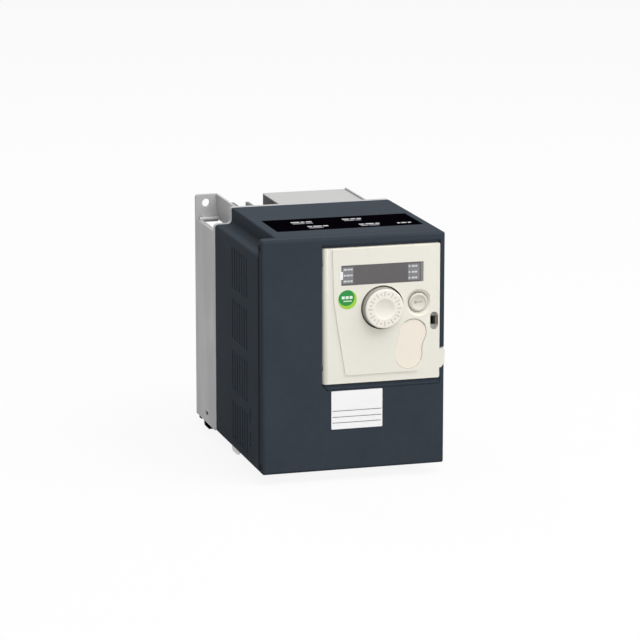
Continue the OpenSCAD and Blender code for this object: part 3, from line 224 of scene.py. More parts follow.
class Shade:
    """One procedural material, built around a Principled shader."""

    def __init__(self, name: str) -> None:
        """Makes the material with nothing but its shader and its output.

        Args:
            name: Name of the material.
        """
        self.material = bpy.data.materials.new(name)
        self.material.use_nodes = True
        self.tree = self.material.node_tree
        self.tree.nodes.clear()
        self.surface = self.tree.nodes.new("ShaderNodeBsdfPrincipled")
        output = self.tree.nodes.new("ShaderNodeOutputMaterial")
        self.tree.links.new(self.surface.outputs[0], output.inputs["Surface"])

    def _feed(self, socket: bpy.types.NodeSocket, value: Value) -> None:
        """Links a wire to a socket, or sets a plain value on it.

        Args:
            socket: The socket.
            value: The wire, number, vector or colour.
        """
        if isinstance(value, Wire):
            self.tree.links.new(value.socket, socket)
        elif socket.type == "RGBA" and len(value) == 3:
            socket.default_value = (*value, 1.0)
        else:
            socket.default_value = value

    def node(self, kind: str, settings: dict | None = None, values: dict | None = None,
             output: int | str = 0) -> Wire:
        """Adds any node.

        Args:
            kind: The node's type.
            settings: Its properties, set first.
            values: Its inputs by name, identifier or number.
            output: The output to hand back.

        Returns:
            That output.
        """
        made = self.tree.nodes.new(kind)
        for name, setting in (settings or {}).items():
            setattr(made, name, setting)
        by_identifier = {socket.identifier: socket for socket in made.inputs}
        for name, value in (values or {}).items():
            socket = by_identifier.get(name) if isinstance(name, str) else None
            self._feed(socket or made.inputs[name], value)
        return Wire(self, made.outputs[output])

    def place(self) -> Wire:
        """Position on the object, in metres."""
        return self.node("ShaderNodeTexCoord", output="Object")

    def axes(self) -> tuple[Wire, Wire, Wire]:
        """Splits the position on the object.

        Returns:
            How far across, back and up, in metres.
        """
        made = self.tree.nodes.new("ShaderNodeSeparateXYZ")
        self._feed(made.inputs[0], self.place())
        return tuple(Wire(self, socket) for socket in made.outputs)

    def noise(self, size: float, detail: float = 2.0, stretch: Sequence[float] = (1, 1, 1)) -> Wire:
        """Soft noise.

        Args:
            size: Width of its spots, in metres.
            detail: Finer octaves on top.
            stretch: Scale along each axis.

        Returns:
            A number around 0.5.
        """
        spot = self.node("ShaderNodeMapping", None, {"Vector": self.place(), "Scale": tuple(stretch)})
        values = {"Vector": spot, "Scale": 1 / size, "Detail": detail}
        return self.node("ShaderNodeTexNoise", None, values)

    def mix(self, share: Value, first: Value, second: Value) -> Wire:
        """Mixes two colours.

        Args:
            share: 0 for the first, 1 for the second.
            first: A colour.
            second: Another colour.

        Returns:
            The mixed colour.
        """
        return self.node("ShaderNodeMix", {"data_type": "RGBA"},
                         {"Factor_Float": share, "A_Color": first, "B_Color": second}, output=2)

    def drift(self, share: Value, colour: Colour, tones: Pair) -> Wire:
        """Lets a colour drift between two brightnesses.

        Args:
            share: 0 for the first brightness, 1 for the second.
            colour: The colour.
            tones: Both brightnesses, where 1 is the colour as it is.

        Returns:
            The drifting colour.
        """
        return self.mix(share, shaded(colour, tones[0]), shaded(colour, tones[1]))

    def bump(self, height: Wire, depth: float, strength: float = 1.0) -> None:
        """Lets a height field tilt the surface.

        Args:
            height: Height from 0 to 1.
            depth: What a height of 1 stands for, in metres.
            strength: Share of the effect.
        """
        values = {"Height": height, "Distance": depth, "Strength": strength}
        self.set(Normal=self.node("ShaderNodeBump", None, values))

    def set(self, **sockets: Value) -> None:
        """Feeds the shader's sockets, with an underscore for each blank in a name."""
        for name, value in sockets.items():
            self._feed(self.surface.inputs[name.replace("_", " ")], value)


class Finish(Protocol):
    """What every finish has: a name, and a way to make its material."""

    @property
    def name(self) -> str:
        """Name of the material."""

    def build(self) -> bpy.types.Material:
        """Makes the material."""


@dataclass(frozen=True)
class ShadedHollow:
    """Painted shade in a round or oval well of a moulding, which runs back along Y and gets little light.

    Its foot and top are the shares of the colour that stay at its lower and upper end.
    """

    centre: Pair
    half: Pair
    front: float
    foot: float
    top: float
    blur: float = 0.3 * MM

    def cover(self, shade: Shade, tone: Wire) -> Wire:
        """Paints shade inside the well.

        Args:
            shade: The material.
            tone: The moulding's colour.

        Returns:
            The colour with the painted shade of the well in it.
        """
        # Painted shade: darkens the colour inside the well, from its foot share to its top share.
        across, depth, up = shade.axes()
        side, high = (across - self.centre[0]) / self.half[0], (up - self.centre[1]) / self.half[1]
        inside = (side * side + high * high < 1) * depth.rise(self.front, self.front + self.blur)
        stays = self.foot + (self.top - self.foot) * high.rise(-1, 1)
        return shade.mix(inside * (1 - stays), tone, UNLIT)


@dataclass(frozen=True)
class ShadedRecess:
    """Painted shade along the foot and the slanted left end of the sloping recess of the cover below the
    door.
    """

    left: float
    right: float
    foot: float
    head: float
    front: float
    deep: float = 2.0 * MM
    blur: float = 0.1 * MM
    lean: float = 0.9
    line: float = 0.9 * MM
    foot_shadow: float = 0.45
    end_shadow: float = 0.65

    def cover(self, shade: Shade, tone: Wire) -> Wire:
        """Paints shade along the recess's edges.

        Args:
            shade: The material.
            tone: The moulding's colour.

        Returns:
            The colour with the painted shade in it.
        """
        across, depth, up = shade.axes()
        within = (across > self.left) * (across < self.right) * (up > self.foot) * (up < self.head)
        sunk = depth.rise(self.front, self.front + self.blur) * (depth < self.front + self.deep)
        slant = (across - self.left) / self.lean + (up - self.head)
        # Painted shade along the recess's foot and its slanted end.
        lines = (up < self.foot + self.line) * self.foot_shadow + (slant < self.line) * self.end_shadow
        return shade.mix(within * sunk * lines, tone, UNLIT)


@dataclass(frozen=True)
class Moulded:
    """Injection-moulded plastic with a spark-eroded grain, and painted shade in the wells and recesses
    that it is given.
    """

    name: str
    colour: Colour
    roughness: float = 0.5
    grain: float = FINE_GRAIN
    depth: float = 0.012 * MM
    drift: float = 0.06
    gloss: float = 0.5
    shaded_hollows: tuple[ShadedHollow | ShadedRecess, ...] = ()
    cloud: float = 28 * MM
    cloud_share: float = 0.7
    fleck: float = 3 * MM
    fleck_range: Pair = (0.35, 0.65)
    patch_rough: float = 0.08
    grain_rough: float = 0.1

    def build(self) -> bpy.types.Material:
        """Builds the finish's nodes.

        Returns:
            The material.
        """
        shade = Shade(self.name)
        grain = shade.noise(self.grain, 3)
        cloud = shade.noise(self.cloud, 3).rise(*SOFT_SPOTS)
        fleck = shade.noise(self.fleck, 2).rise(*self.fleck_range)
        patch = cloud * self.cloud_share + fleck * (1 - self.cloud_share)
        tone = shade.drift(patch, self.colour, (1 - self.drift, 1 + self.drift))
        # Painted shade in wells and recesses.
        for hollow in self.shaded_hollows:
            tone = hollow.cover(shade, tone)
        rough = grain.about(patch.about(self.roughness, self.patch_rough), self.grain_rough)
        shade.set(Base_Color=tone, Roughness=rough, Specular_IOR_Level=self.gloss)
        shade.bump(grain, self.depth)
        return shade.material


@dataclass(frozen=True)
class FinShade:
    """Painted shade in the space between the cooling fins, which darkens the casting there."""

    across: Pair
    deep: Pair
    blur: float = 1.2 * MM
    stays: float = 0.26

    def cover(self, shade: Shade, tone: Wire) -> Wire:
        """Paints shade between the fins, but not on their rear edges.

        Args:
            shade: The material.
            tone: The casting's colour.

        Returns:
            The colour with the painted shade between the fins in it.
        """
        side, depth, _ = shade.axes()
        front, rear = self.deep
        within = (side > self.across[0]) * (side < self.across[1])
        along = depth.rise(front, front + self.blur) * (1 - depth.rise(rear - self.blur, rear))
        return shade.mix(within * along * (1 - self.stays), tone, UNLIT)


@dataclass(frozen=True)
class CastMetal:
    """Die-cast aluminium, blasted to a dull grey, with flow marks, and painted shade between its fins if
    asked.
    """

    name: str
    colour: Colour
    metal: float = 0.35
    roughness: float = 0.5
    gloss: float = 0.1
    fin_shade: FinShade | None = None
    blast: float = 0.6 * MM
    blast_rough: float = 0.2
    flow: float = 16 * MM
    flow_stretch: Sequence[float] = (1, 1, 0.35)
    flow_range: Pair = (0.3, 0.75)
    flow_tones: Pair = (0.93, 1.05)
    flow_metal: float = 0.06
    flow_polish: float = 0.05
    speck: float = 2.2 * MM
    speck_range: Pair = (0.62, 0.72)
    speck_share: float = 0.18
    speck_tone: float = 0.7
    depth: float = 0.03 * MM

    def build(self) -> bpy.types.Material:
        """Builds the finish's nodes.

        Returns:
            The material.
        """
        shade = Shade(self.name)
        blast = shade.noise(self.blast, 4)
        flow = shade.noise(self.flow, 4, self.flow_stretch).rise(*self.flow_range)
        speck = shade.noise(self.speck, 3).rise(*self.speck_range)
        tone = shade.drift(flow, self.colour, self.flow_tones)
        tone = shade.mix(speck * self.speck_share, tone, shaded(self.colour, self.speck_tone))
        # Painted shade between the fins.
        if self.fin_shade:
            tone = self.fin_shade.cover(shade, tone)
        rough = blast.about(self.roughness, self.blast_rough) - flow * self.flow_polish
        shade.set(Base_Color=tone, Metallic=self.metal + flow * self.flow_metal, Roughness=rough)
        shade.set(Specular_IOR_Level=self.gloss)
        shade.bump(blast, self.depth)
        return shade.material


@dataclass(frozen=True)
class SheetMetal:
    """Painted or plated sheet with a faint rolling direction, and a lid of another shade if it has one."""

    name: str
    colour: Colour
    metal: float = 0.2
    roughness: float = 0.45
    rolled: Sequence[float] = (1, 1, 0.04)
    gloss: float = 0.1
    lid: Colour | None = None
    lid_from: float = 0.0
    lid_blur: float = 0.5 * MM
    streak: float = 0.8 * MM
    streak_rough: float = 0.18
    cloud: float = 22 * MM
    cloud_tones: Pair = (0.95, 1.03)
    depth: float = 0.012 * MM

    def build(self) -> bpy.types.Material:
        """Builds the finish's nodes.

        Returns:
            The material.
        """
        shade = Shade(self.name)
        streak = shade.noise(self.streak, 3, self.rolled)
        cloud = shade.noise(self.cloud, 3).rise(*SOFT_SPOTS)
        tone = shade.drift(cloud, self.colour, self.cloud_tones)
        # Above lid_from the lid colour; below it the sheet's own colour, which on the filter can is
        # painted shade.
        if self.lid:
            over = shade.axes()[2].rise(self.lid_from - self.lid_blur, self.lid_from)
            tone = shade.mix(over, tone, self.lid)
        shade.set(Base_Color=tone, Metallic=self.metal, Specular_IOR_Level=self.gloss)
        shade.set(Roughness=streak.about(self.roughness, self.streak_rough))
        shade.bump(streak, self.depth)
        return shade.material


@dataclass(frozen=True)
class Plated:
    """Small bright metal parts: screws, pins, shafts and posts."""

    name: str
    colour: Colour
    roughness: float = 0.32
    metal: float = 0.95
    haze: float = 1.4 * MM
    haze_rough: float = 0.2
    stain: float = 4 * MM
    stain_range: Pair = (0.45, 0.7)
    stain_share: float = 0.5
    stain_tone: float = 0.75
    depth: float = 0.008 * MM

    def build(self) -> bpy.types.Material:
        """Builds the finish's nodes.

        Returns:
            The material.
        """
        shade = Shade(self.name)
        haze = shade.noise(self.haze, 3)
        stain = shade.noise(self.stain, 2).rise(*self.stain_range)
        tone = shade.mix(stain * self.stain_share, self.colour, shaded(self.colour, self.stain_tone))
        shade.set(Base_Color=tone, Metallic=self.metal)
        shade.set(Roughness=haze.about(self.roughness, self.haze_rough))
        shade.bump(haze, self.depth)
        return shade.material


@dataclass(frozen=True)
class Film:
    """Glossy printed film or smoked window."""

    name: str
    colour: Colour
    roughness: float = 0.18
    coat: float = 0.4
    gloss: float = 0.5
    coat_roughness: float = 0.12
    smear: float = 14 * MM
    smear_range: Pair = (0.4, 0.75)
    smear_tones: Pair = (0.96, 1.06)
    smear_rough: float = 0.08
    ripple: float = 9 * MM
    ripple_share: float = 0.5
    depth: float = 0.02 * MM

    def build(self) -> bpy.types.Material:
        """Builds the finish's nodes.

        Returns:
            The material.
        """
        shade = Shade(self.name)
        ripple = shade.noise(self.ripple, 2)
        smear = shade.noise(self.smear, 4).rise(*self.smear_range)
        tone = shade.drift(smear, self.colour, self.smear_tones)
        shade.set(Base_Color=tone, Roughness=self.roughness + smear * self.smear_rough)
        shade.set(Coat_Weight=self.coat, Coat_Roughness=self.coat_roughness, Specular_IOR_Level=self.gloss)
        shade.bump(ripple, self.depth, self.ripple_share)
        return shade.material


@dataclass(frozen=True)
class Laminate:
    """Circuit board: solder mask over copper lines, with plated vias."""

    name: str
    mask: Colour = srgb(22, 92, 52)
    copper: Colour = srgb(48, 128, 74)
    via: Colour = srgb(190, 175, 120)
    pitch: float = 1.3 * MM
    zone: float = 11 * MM
    patch: float = 4 * MM
    patch_from: float = 0.47
    trace_edge: Pair = (0.5, 0.6)
    via_pitch: float = 4.2 * MM
    via_stray: float = 0.85
    via_edge: Pair = (0.1, 0.13)
    via_metal: float = 0.8
    roughness: float = 0.36
    trace_polish: float = 0.06
    via_polish: float = 0.05
    depth: float = 0.03 * MM

    def build(self) -> bpy.types.Material:
        """Builds the finish's nodes.

        Returns:
            The material.
        """
        shade = Shade(self.name)
        across, _, up = shade.axes()
        zone = shade.noise(self.zone, 0) > 0.5
        along = across * (1 - zone) + up * zone
        line = abs(along % self.pitch - self.pitch / 2) / (self.pitch / 2)
        trace = (1 - line.rise(*self.trace_edge)) * (shade.noise(self.patch, 0) > self.patch_from)
        values = {"Vector": shade.place(), "Scale": 1 / self.via_pitch, "Randomness": self.via_stray}
        spot = shade.node("ShaderNodeTexVoronoi", {"voronoi_dimensions": "3D"}, values)
        hole = 1 - spot.rise(*self.via_edge)
        tone = shade.mix(hole, shade.mix(trace, self.mask, self.copper), self.via)
        rough = self.roughness - trace * self.trace_polish - hole * self.via_polish
        shade.set(Base_Color=tone, Metallic=hole * self.via_metal, Roughness=rough)
        shade.bump(trace, self.depth)
        return shade.material


@dataclass(frozen=True)
class RoundLabel:
    """Round sticker: a green disc with a lime crescent along its foot, a row of pale blocks and a line.

    The places and sizes of its crescent, blocks and line are shares of its radius.
    """

    name: str
    centre: Pair
    radius: float
    disc: Colour = srgb(0, 140, 52)
    crescent: Colour = srgb(158, 208, 46)
    mark: Colour = srgb(232, 244, 230)
    inner_centre: Pair = (-0.12, 0.20)
    inner_edge: Pair = (0.84, 0.88)
    blocks_up: float = 0.22
    blocks_half: Pair = (0.63, 0.15)
    block_pitch: float = 0.42
    block_w: float = 0.32
    line_up: float = -0.16
    line_half: Pair = (0.45, 0.05)
    fleck: float = 1.2 * MM
    fleck_tones: Pair = (0.9, 1.1)
    fleck_rough: float = 0.1
    roughness: float = 0.32
    coat: float = 0.2
    crescent_coat: float = 0.1
    depth: float = 0.006 * MM

    def build(self) -> bpy.types.Material:
        """Builds the finish's nodes.

        Returns:
            The material.
        """
        shade = Shade(self.name)
        across, _, up = shade.axes()
        side, high = (across - self.centre[0]) / self.radius, (up - self.centre[1]) / self.radius
        inner = ((side - self.inner_centre[0]) ** 2 + (high - self.inner_centre[1]) ** 2) ** 0.5
        edge = inner.rise(*self.inner_edge)
        blocks = (abs(high - self.blocks_up) < self.blocks_half[1]) * (abs(side) < self.blocks_half[0])
        blocks = blocks * ((side + self.block_pitch / 2) % self.block_pitch < self.block_w)
        line = (abs(high - self.line_up) < self.line_half[1]) * (abs(side) < self.line_half[0])
        fleck = shade.noise(self.fleck, 3)
        tone = shade.mix(edge, shade.drift(fleck, self.disc, self.fleck_tones), self.crescent)
        tone = shade.mix(blocks + line, tone, self.mark)
        shade.set(Base_Color=tone, Roughness=fleck.about(self.roughness, self.fleck_rough))
        shade.set(Coat_Weight=self.coat + edge * self.crescent_coat)
        shade.bump(fleck, self.depth)
        return shade.material


@dataclass(frozen=True)
class MarkedDial:
    """Ivory dial with grey ticks and dots ringed on its face; its shallow dish and its side painted darker
    as shade.
    """

    name: str
    centre: Pair
    face: float
    rim: float
    colour: Colour = srgb(243, 239, 228)
    mark: Colour = srgb(207, 203, 193)
    side_shade_tone: float = 0.52
    side_shade_blur: float = 0.3 * MM
    chamfer: Pair = (0.2 * MM, 0.6 * MM)
    dish: float = 5.9 * MM
    dish_blur: float = 1.0 * MM
    dish_shade_tone: float = 0.93
    step: float = math.radians(30)
    ring: float = 8.5 * MM
    tick_half: Pair = (0.26 * MM, 1.35 * MM)
    dot: float = 0.5 * MM
    cloud: float = 12 * MM
    roughness: float = 0.4
    grain_rough: float = 0.1
    side_rough: float = 0.1

    def build(self) -> bpy.types.Material:
        """Builds the finish's nodes.

        Returns:
            The material.
        """
        shade = Shade(self.name)
        across, depth, up = shade.axes()
        side, high = across - self.centre[0], up - self.centre[1]
        reach = (side * side + high * high) ** 0.5
        marks = self.marks(high.angle(side), reach) * (depth < self.face + self.chamfer[1])
        grain = shade.noise(FINE_GRAIN, 3)
        cloud = shade.noise(self.cloud, 2).rise(*SOFT_SPOTS)
        tone = shade.drift(cloud, self.colour, IVORY_TONES)
        # Painted shade: the dish is a little darker.
        dish_shade = 1 - reach.rise(self.dish - self.dish_blur, self.dish)
        tone = shade.mix(dish_shade, tone, shaded(self.colour, self.dish_shade_tone))
        # Painted shade: the side behind the face is much darker.
        behind = depth.rise(*(self.face + deep for deep in self.chamfer))
        side_shade = reach.rise(self.rim - self.side_shade_blur, self.rim) * behind
        tone = shade.mix(side_shade, shade.mix(marks, tone, self.mark), shaded(self.colour, self.side_shade_tone))
        rough = grain.about(self.roughness, self.grain_rough) + side_shade * self.side_rough
        shade.set(Base_Color=tone, Roughness=rough)
        shade.bump(grain, IVORY_DEPTH)
        return shade.material

    def marks(self, angle: Wire, reach: Wire) -> Wire:
        """Lays a tick at every step of the ring, and a dot between each two.

        Args:
            angle: Angle round the dial.
            reach: Distance from its axis.

        Returns:
            1 on a mark, else 0.
        """
        off = reach - self.ring
        turn = abs((angle + self.step / 2) % self.step - self.step / 2)
        tick = (turn * reach < self.tick_half[0]) * (abs(off) < self.tick_half[1])
        half = abs(angle % self.step - self.step / 2) * reach
        return tick + (half * half + off * off < self.dot ** 2)


@dataclass(frozen=True)
class ArrowKey:
    """Ivory key with a plain arrow to the left."""

    name: str
    centre: Pair
    colour: Colour = srgb(217, 213, 201)
    mark: Colour = srgb(150, 147, 138)
    mark_share: float = 0.8
    bar_at: float = 0.5 * MM
    bar_half: Pair = (1.7 * MM, 0.32 * MM)
    head: Pair = (-2.9 * MM, -1.2 * MM)
    head_slope: float = 0.75
    cloud: float = 8 * MM
    roughness: float = 0.42
    grain_rough: float = 0.1

    def build(self) -> bpy.types.Material:
        """Builds the finish's nodes.

        Returns:
            The material.
        """
        shade = Shade(self.name)
        across, _, up = shade.axes()
        side, high = across - self.centre[0], abs(up - self.centre[1])
        tip, end = self.head
        bar = (high < self.bar_half[1]) * (abs(side - self.bar_at) < self.bar_half[0])
        head = (high < (side - tip) * self.head_slope) * (side < end)
        grain = shade.noise(FINE_GRAIN, 3)
        cloud = shade.noise(self.cloud, 2).rise(*SOFT_SPOTS)
        tone = shade.drift(cloud, self.colour, IVORY_TONES)
        shade.set(Base_Color=shade.mix((bar + head) * self.mark_share, tone, self.mark))
        shade.set(Roughness=grain.about(self.roughness, self.grain_rough))
        shade.bump(grain, IVORY_DEPTH)
        return shade.material


@dataclass(frozen=True)
class Winding:
    """Enamelled copper wire wound round a ring that faces forward."""

    name: str
    centre: Pair
    turns: int = 44
    colour: Colour = srgb(176, 96, 44)
    gap_tone: float = 0.35
    wire_edge: Pair = (0.05, 0.6)
    wire_polish: float = 0.12
    metal: float = 0.8
    roughness: float = 0.4
    depth: float = 0.4 * MM

    def build(self) -> bpy.types.Material:
        """Builds the finish's nodes.

        Returns:
            The material.
        """
        shade = Shade(self.name)
        across, _, up = shade.axes()
        angle = (up - self.centre[1]).angle(across - self.centre[0])
        step = 2 * math.pi / self.turns
        wire = 1 - abs(angle % step - step / 2) / (step / 2)
        tone = shade.mix(wire.rise(*self.wire_edge), shaded(self.colour, self.gap_tone), self.colour)
        shade.set(Base_Color=tone, Metallic=self.metal, Roughness=self.roughness - wire * self.wire_polish)
        shade.bump(wire ** 0.5, self.depth)
        return shade.material


class Ink(Enum):
    """Inks of the printed marks and thin trim, two of them painted shade."""

    PALE = srgb(212, 214, 214)
    GREY = srgb(128, 128, 131)
    DARK = srgb(58, 60, 66)
    MIST = srgb(124, 124, 132)
    # Painted shade: the strip for the window's recess wall, and the shadow line along the key blank's
    # joint.
    BEVEL = srgb(131, 128, 122)
    JOINT = srgb(176, 168, 158)


@dataclass
class Palette:
    """Every finish, made once and handed out by name."""

    ready: dict[str, bpy.types.Material] = field(default_factory=dict)
    ink_rough: float = 0.45
    ink_depth: float = 0.004 * MM
    ink_drift: float = 0.03

    def take(self, finish: Finish) -> bpy.types.Material:
        """Builds a finish the first time it is asked for.

        Args:
            finish: The finish.

        Returns:
            Its material.
        """
        if finish.name not in self.ready:
            self.ready[finish.name] = finish.build()
        return self.ready[finish.name]

    def ink(self, ink: Ink) -> bpy.types.Material:
        """Finish of a printed mark."""
        look = {"roughness": self.ink_rough, "depth": self.ink_depth, "drift": self.ink_drift}
        return self.take(Moulded(f"ink_{ink.name.lower()}", ink.value, **look))

    def paint(self, node: str, finish: Finish) -> bpy.types.Material:
        """Puts one finish on all of a solid's faces.

        Args:
            node: Name of the solid.
            finish: Its finish.

        Returns:
            The finish's material.
        """
        material = self.take(finish)
        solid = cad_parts[node].data
        solid.materials.clear()
        solid.materials.append(material)
        LOG.info("solid %s: %s", node, material.name)
        return material


NAVY = Moulded("navy_plastic", srgb(57, 64, 72), roughness=0.66, depth=0.010 * MM, gloss=0.022)
BEIGE = Moulded("beige_plastic", srgb(236, 233, 221), roughness=0.45, depth=0.006 * MM, drift=0.015)
CREAM = Moulded("cream_plastic", srgb(243, 234, 220), depth=0.006 * MM, drift=0.015)
BLACK = Moulded("black_plastic", srgb(18, 18, 20), gloss=0.25)
FAN_BLACK = Moulded("fan_plastic", srgb(5, 5, 6), roughness=0.75, gloss=0.0)
GREY = Moulded("grey_plastic", srgb(74, 79, 84))
GREEN_KEY = Moulded("green_key", srgb(62, 146, 78), roughness=0.42)
RED_KEY = Moulded("red_key", srgb(188, 58, 48), roughness=0.42)
GREEN_BLOCK = Moulded("green_block", srgb(42, 120, 76), roughness=0.45)
BLUE_CASE = Moulded("blue_case", srgb(44, 84, 138), roughness=0.3, depth=0.004 * MM)
SOFT_PAD = Moulded("soft_pad", srgb(205, 205, 202), roughness=0.8)
WHITE_LABEL = Moulded("white_label", srgb(250, 250, 250), roughness=0.4, depth=0.003 * MM, drift=0.01)
CASTING = CastMetal("cast_aluminium", srgb(186, 186, 187), metal=0.25, gloss=0.5)
TIN = SheetMetal("tinned_sheet", srgb(212, 212, 210), metal=0.7, roughness=0.35)
ZINC = Plated("zinc_plate", srgb(190, 190, 188))
BRASS = Plated("turned_brass", srgb(204, 170, 98), roughness=0.28)
STRIP = Film("black_film", srgb(6, 4, 9), roughness=0.6, coat=0.0, gloss=0.0)
WINDOW = Film("smoked_window", srgb(98, 95, 97), roughness=0.5, coat=0.0, gloss=0.3)
PANEL = Film("display_glass", srgb(38, 36, 40), roughness=0.12, coat=0.5)
SLEEVE = Film("capacitor_sleeve", srgb(34, 40, 56), roughness=0.3, coat=0.3)
BOARD = Laminate("circuit_board")

# The solids that aren't listed take a finish of their own from the classes further down.
NODE_FINISH: dict[str, Finish] = {
    "fan_frame": FAN_BLACK, "fan_rotor": FAN_BLACK,
    "housing": NAVY, "housing_screws": ZINC, "vent_strip": STRIP, "earth_tab": TIN, "earth_screw": ZINC,
    "thermal_pad": SOFT_PAD, "power_module": BLACK, "power_board": BOARD, "board_standoffs": BRASS,
    "board_screws": ZINC, "bus_capacitors": SLEEVE, "supply_transformer": BLACK, "relays": BLUE_CASE,
    "current_sensors": BLACK, "power_terminals": GREY, "power_terminal_screws": ZINC,
    "riser_board": BOARD, "control_board": BOARD, "control_standoffs": BRASS, "control_screws": ZINC,
    "control_terminals": GREEN_BLOCK, "control_terminal_screws": ZINC, "comm_socket": BLACK,
    "inner_chassis": GREY, "chassis_screws": ZINC, "keypad_board": BOARD, "keypad_screws": ZINC,
    "keypad_header": BLACK, "display_module": PANEL, "encoder_body": TIN, "encoder_rotor": CREAM,
    "tact_switches": BLACK, "dial_shaft": ZINC, "run_key": GREEN_KEY, "stop_key": RED_KEY,
    "mode_key": GREY, "door_pins": ZINC, "display_window": WINDOW, "key_blank": CREAM,
    "cover_pins": ZINC, "rating_plate": WHITE_LABEL,
}

# Widths of the fine bevels, in millimetres.
SOFT_EDGES: dict[str, float] = {
    "heatsink": 0.35, "filter_can": 0.3, "housing": 0.3, "fan_frame": 0.3, "keypad_bezel": 0.2,
    "keypad_door": 0.22, "front_cover": 0.3, "power_terminals": 0.2, "inner_chassis": 0.2,
    "jog_dial": 0.12, "earth_tab": 0.15, "key_blank": 0.15, "display_window": 0.1, "relays": 0.4,
    "comm_socket": 0.2, "control_terminals": 0.15,
}


@dataclass
class Mesh:
    """A bmesh that gathers the solids of one piece."""

    name: str
    body: bmesh.types.BMesh = field(default_factory=bmesh.new)

    def slab(self, low: Sequence[float], high: Sequence[float], round_off: float = 0.0,
             segments: int = 2) -> None:
        """Adds a block between two corners.

        Args:
            low: Lowest corner, in metres.
            high: Highest corner.
            round_off: Bevel of its edges.
            segments: Steps of that bevel.
        """
        low, high = Vector(low), Vector(high)
        place = Matrix.Translation((low + high) / 2) @ Matrix.Diagonal((*(high - low), 1))
        corners = bmesh.ops.create_cube(self.body, size=1, matrix=place)["verts"]
        if round_off:
            edges = list(dict.fromkeys(edge for corner in corners for edge in corner.link_edges))
            bmesh.ops.bevel(self.body, geom=edges, offset=round_off, affect="EDGES", segments=segments,
                            profile=0.5, material=-1)

    def rod(self, foot: Vector, axis: Vector, length: float, radius: float, sides: int = 32) -> None:
        """Adds a round bar.

        Args:
            foot: Middle of its foot.
            axis: Direction towards its other end.
            length: Length.
            radius: Radius.
            sides: Sides of the round.
        """
        axis = axis.normalized()
        turn = axis.to_track_quat("Z", "Y").to_matrix().to_4x4()
        place = Matrix.Translation(foot + axis * length / 2) @ turn
        bmesh.ops.create_cone(self.body, cap_ends=True, segments=sides, radius1=radius, radius2=radius,
                              depth=length, matrix=place)

    def rim(self, middle: Vector, outer: float, inner: float, height: float, slope: float,
            sides: int = 64) -> None:
        """Adds a low ring with sloping sides that stands forward of a face.

        Args:
            middle: Middle of the ring on the face.
            outer: Radius of its outer foot.
            inner: Radius of its inner foot.
            height: How far it stands forward, along -Y.
            slope: How far each side leans in.
            sides: Sides of the round.
        """
        section = ((inner, 0), (inner + slope, height), (outer - slope, height), (outer, 0))
        corners = [self.body.verts.new(middle + Vector((reach, -out, 0))) for reach, out in section]
        pairs = zip(corners, corners[-1:] + corners[:-1])
        edges = [self.body.edges.new(pair) for pair in pairs]
        bmesh.ops.spin(self.body, geom=corners + edges, cent=middle, axis=(0, 1, 0), angle=2 * math.pi,
                       steps=sides, use_merge=True)

    def finish(self, material: bpy.types.Material, body: str, slot: str) -> None:
        """Turns the bmesh into a piece that rides on a body.

        Args:
            material: Its finish.
            body: Name of the body that carries it.
            slot: Name of a material slot, not used.
        """
        bmesh.ops.recalc_face_normals(self.body, faces=self.body.faces[:])
        data = bpy.data.meshes.new(self.name)
        self.body.to_mesh(data)
        self.body.free()
        data.materials.append(material)
        piece = bpy.data.objects.new(self.name, data)
        bpy.context.scene.collection.objects.link(piece)
        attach(piece, body)
        LOG.info("piece %s on %s: %d faces", self.name, body, len(data.polygons))


@dataclass
class Solids:
    """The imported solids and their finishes."""

    palette: Palette
    crease: float = math.radians(35)
    steps: int = 2

    def build(self) -> None:
        """Gives the listed solids their finish, and a fine bevel to those with long visible edges."""
        for name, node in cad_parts.items():
            if name in NODE_FINISH:
                self.palette.paint(name, NODE_FINISH[name])
            if name in SOFT_EDGES:
                self.soften(node, SOFT_EDGES[name] * MM)

    def soften(self, node: bpy.types.Object, width: float) -> None:
        """Rounds a solid's sharp edges.

        Args:
            node: The solid.
            width: Width of the rounding.
        """
        weld = node.modifiers.new("weld", "WELD")
        weld.merge_threshold = WELD
        bevel = node.modifiers.new("soft_edges", "BEVEL")
        bevel.width = width
        bevel.segments = self.steps
        bevel.limit_method = "ANGLE"
        bevel.angle_limit = self.crease
        bevel.use_clamp_overlap = True
        bevel.harden_normals = True


def dashes(start: float, lengths: Sequence[float], gap: float) -> list[Pair]:
    """Lays dashes in a row.

    Args:
        start: Left end of the row, in metres.
        lengths: Lengths of the dashes, in millimetres.
        gap: Space between two dashes, in metres.

    Returns:
        Left and right end of each dash.
    """
    ends = []
    for length in lengths:
        ends.append((start, start + length * MM))
        start += length * MM + gap
    return ends


@dataclass
class Prints:
    """Thin printed marks on a face that looks forward or up."""

    palette: Palette
    body: str
    film: float = 0.03 * MM

    def on_front(self, name: str, ink: Ink, face: float, bars: Sequence[Bar]) -> None:
        """Prints bars on a face that looks forward.

        Args:
            name: Name of the piece.
            ink: Its ink.
            face: Y of the face, in metres.
            bars: Left, right, bottom and top of each bar, in metres.
        """
        mesh = Mesh(name)
        for left, right, low, high in bars:
            mesh.slab((left, face - self.film, low), (right, face, high))
        mesh.finish(self.palette.ink(ink), self.body, "label")

    def on_top(self, name: str, ink: Ink, face: float, bars: Sequence[Bar]) -> None:
        """Prints bars on a face that looks up.

        Args:
            name: Name of the piece.
            ink: Its ink.
            face: Z of the face, in metres.
            bars: Left, right, front and rear of each bar, in metres.
        """
        mesh = Mesh(name)
        for left, right, near, far in bars:
            mesh.slab((left, near, face), (right, far, face + self.film))
        mesh.finish(self.palette.ink(ink), self.body, "label")


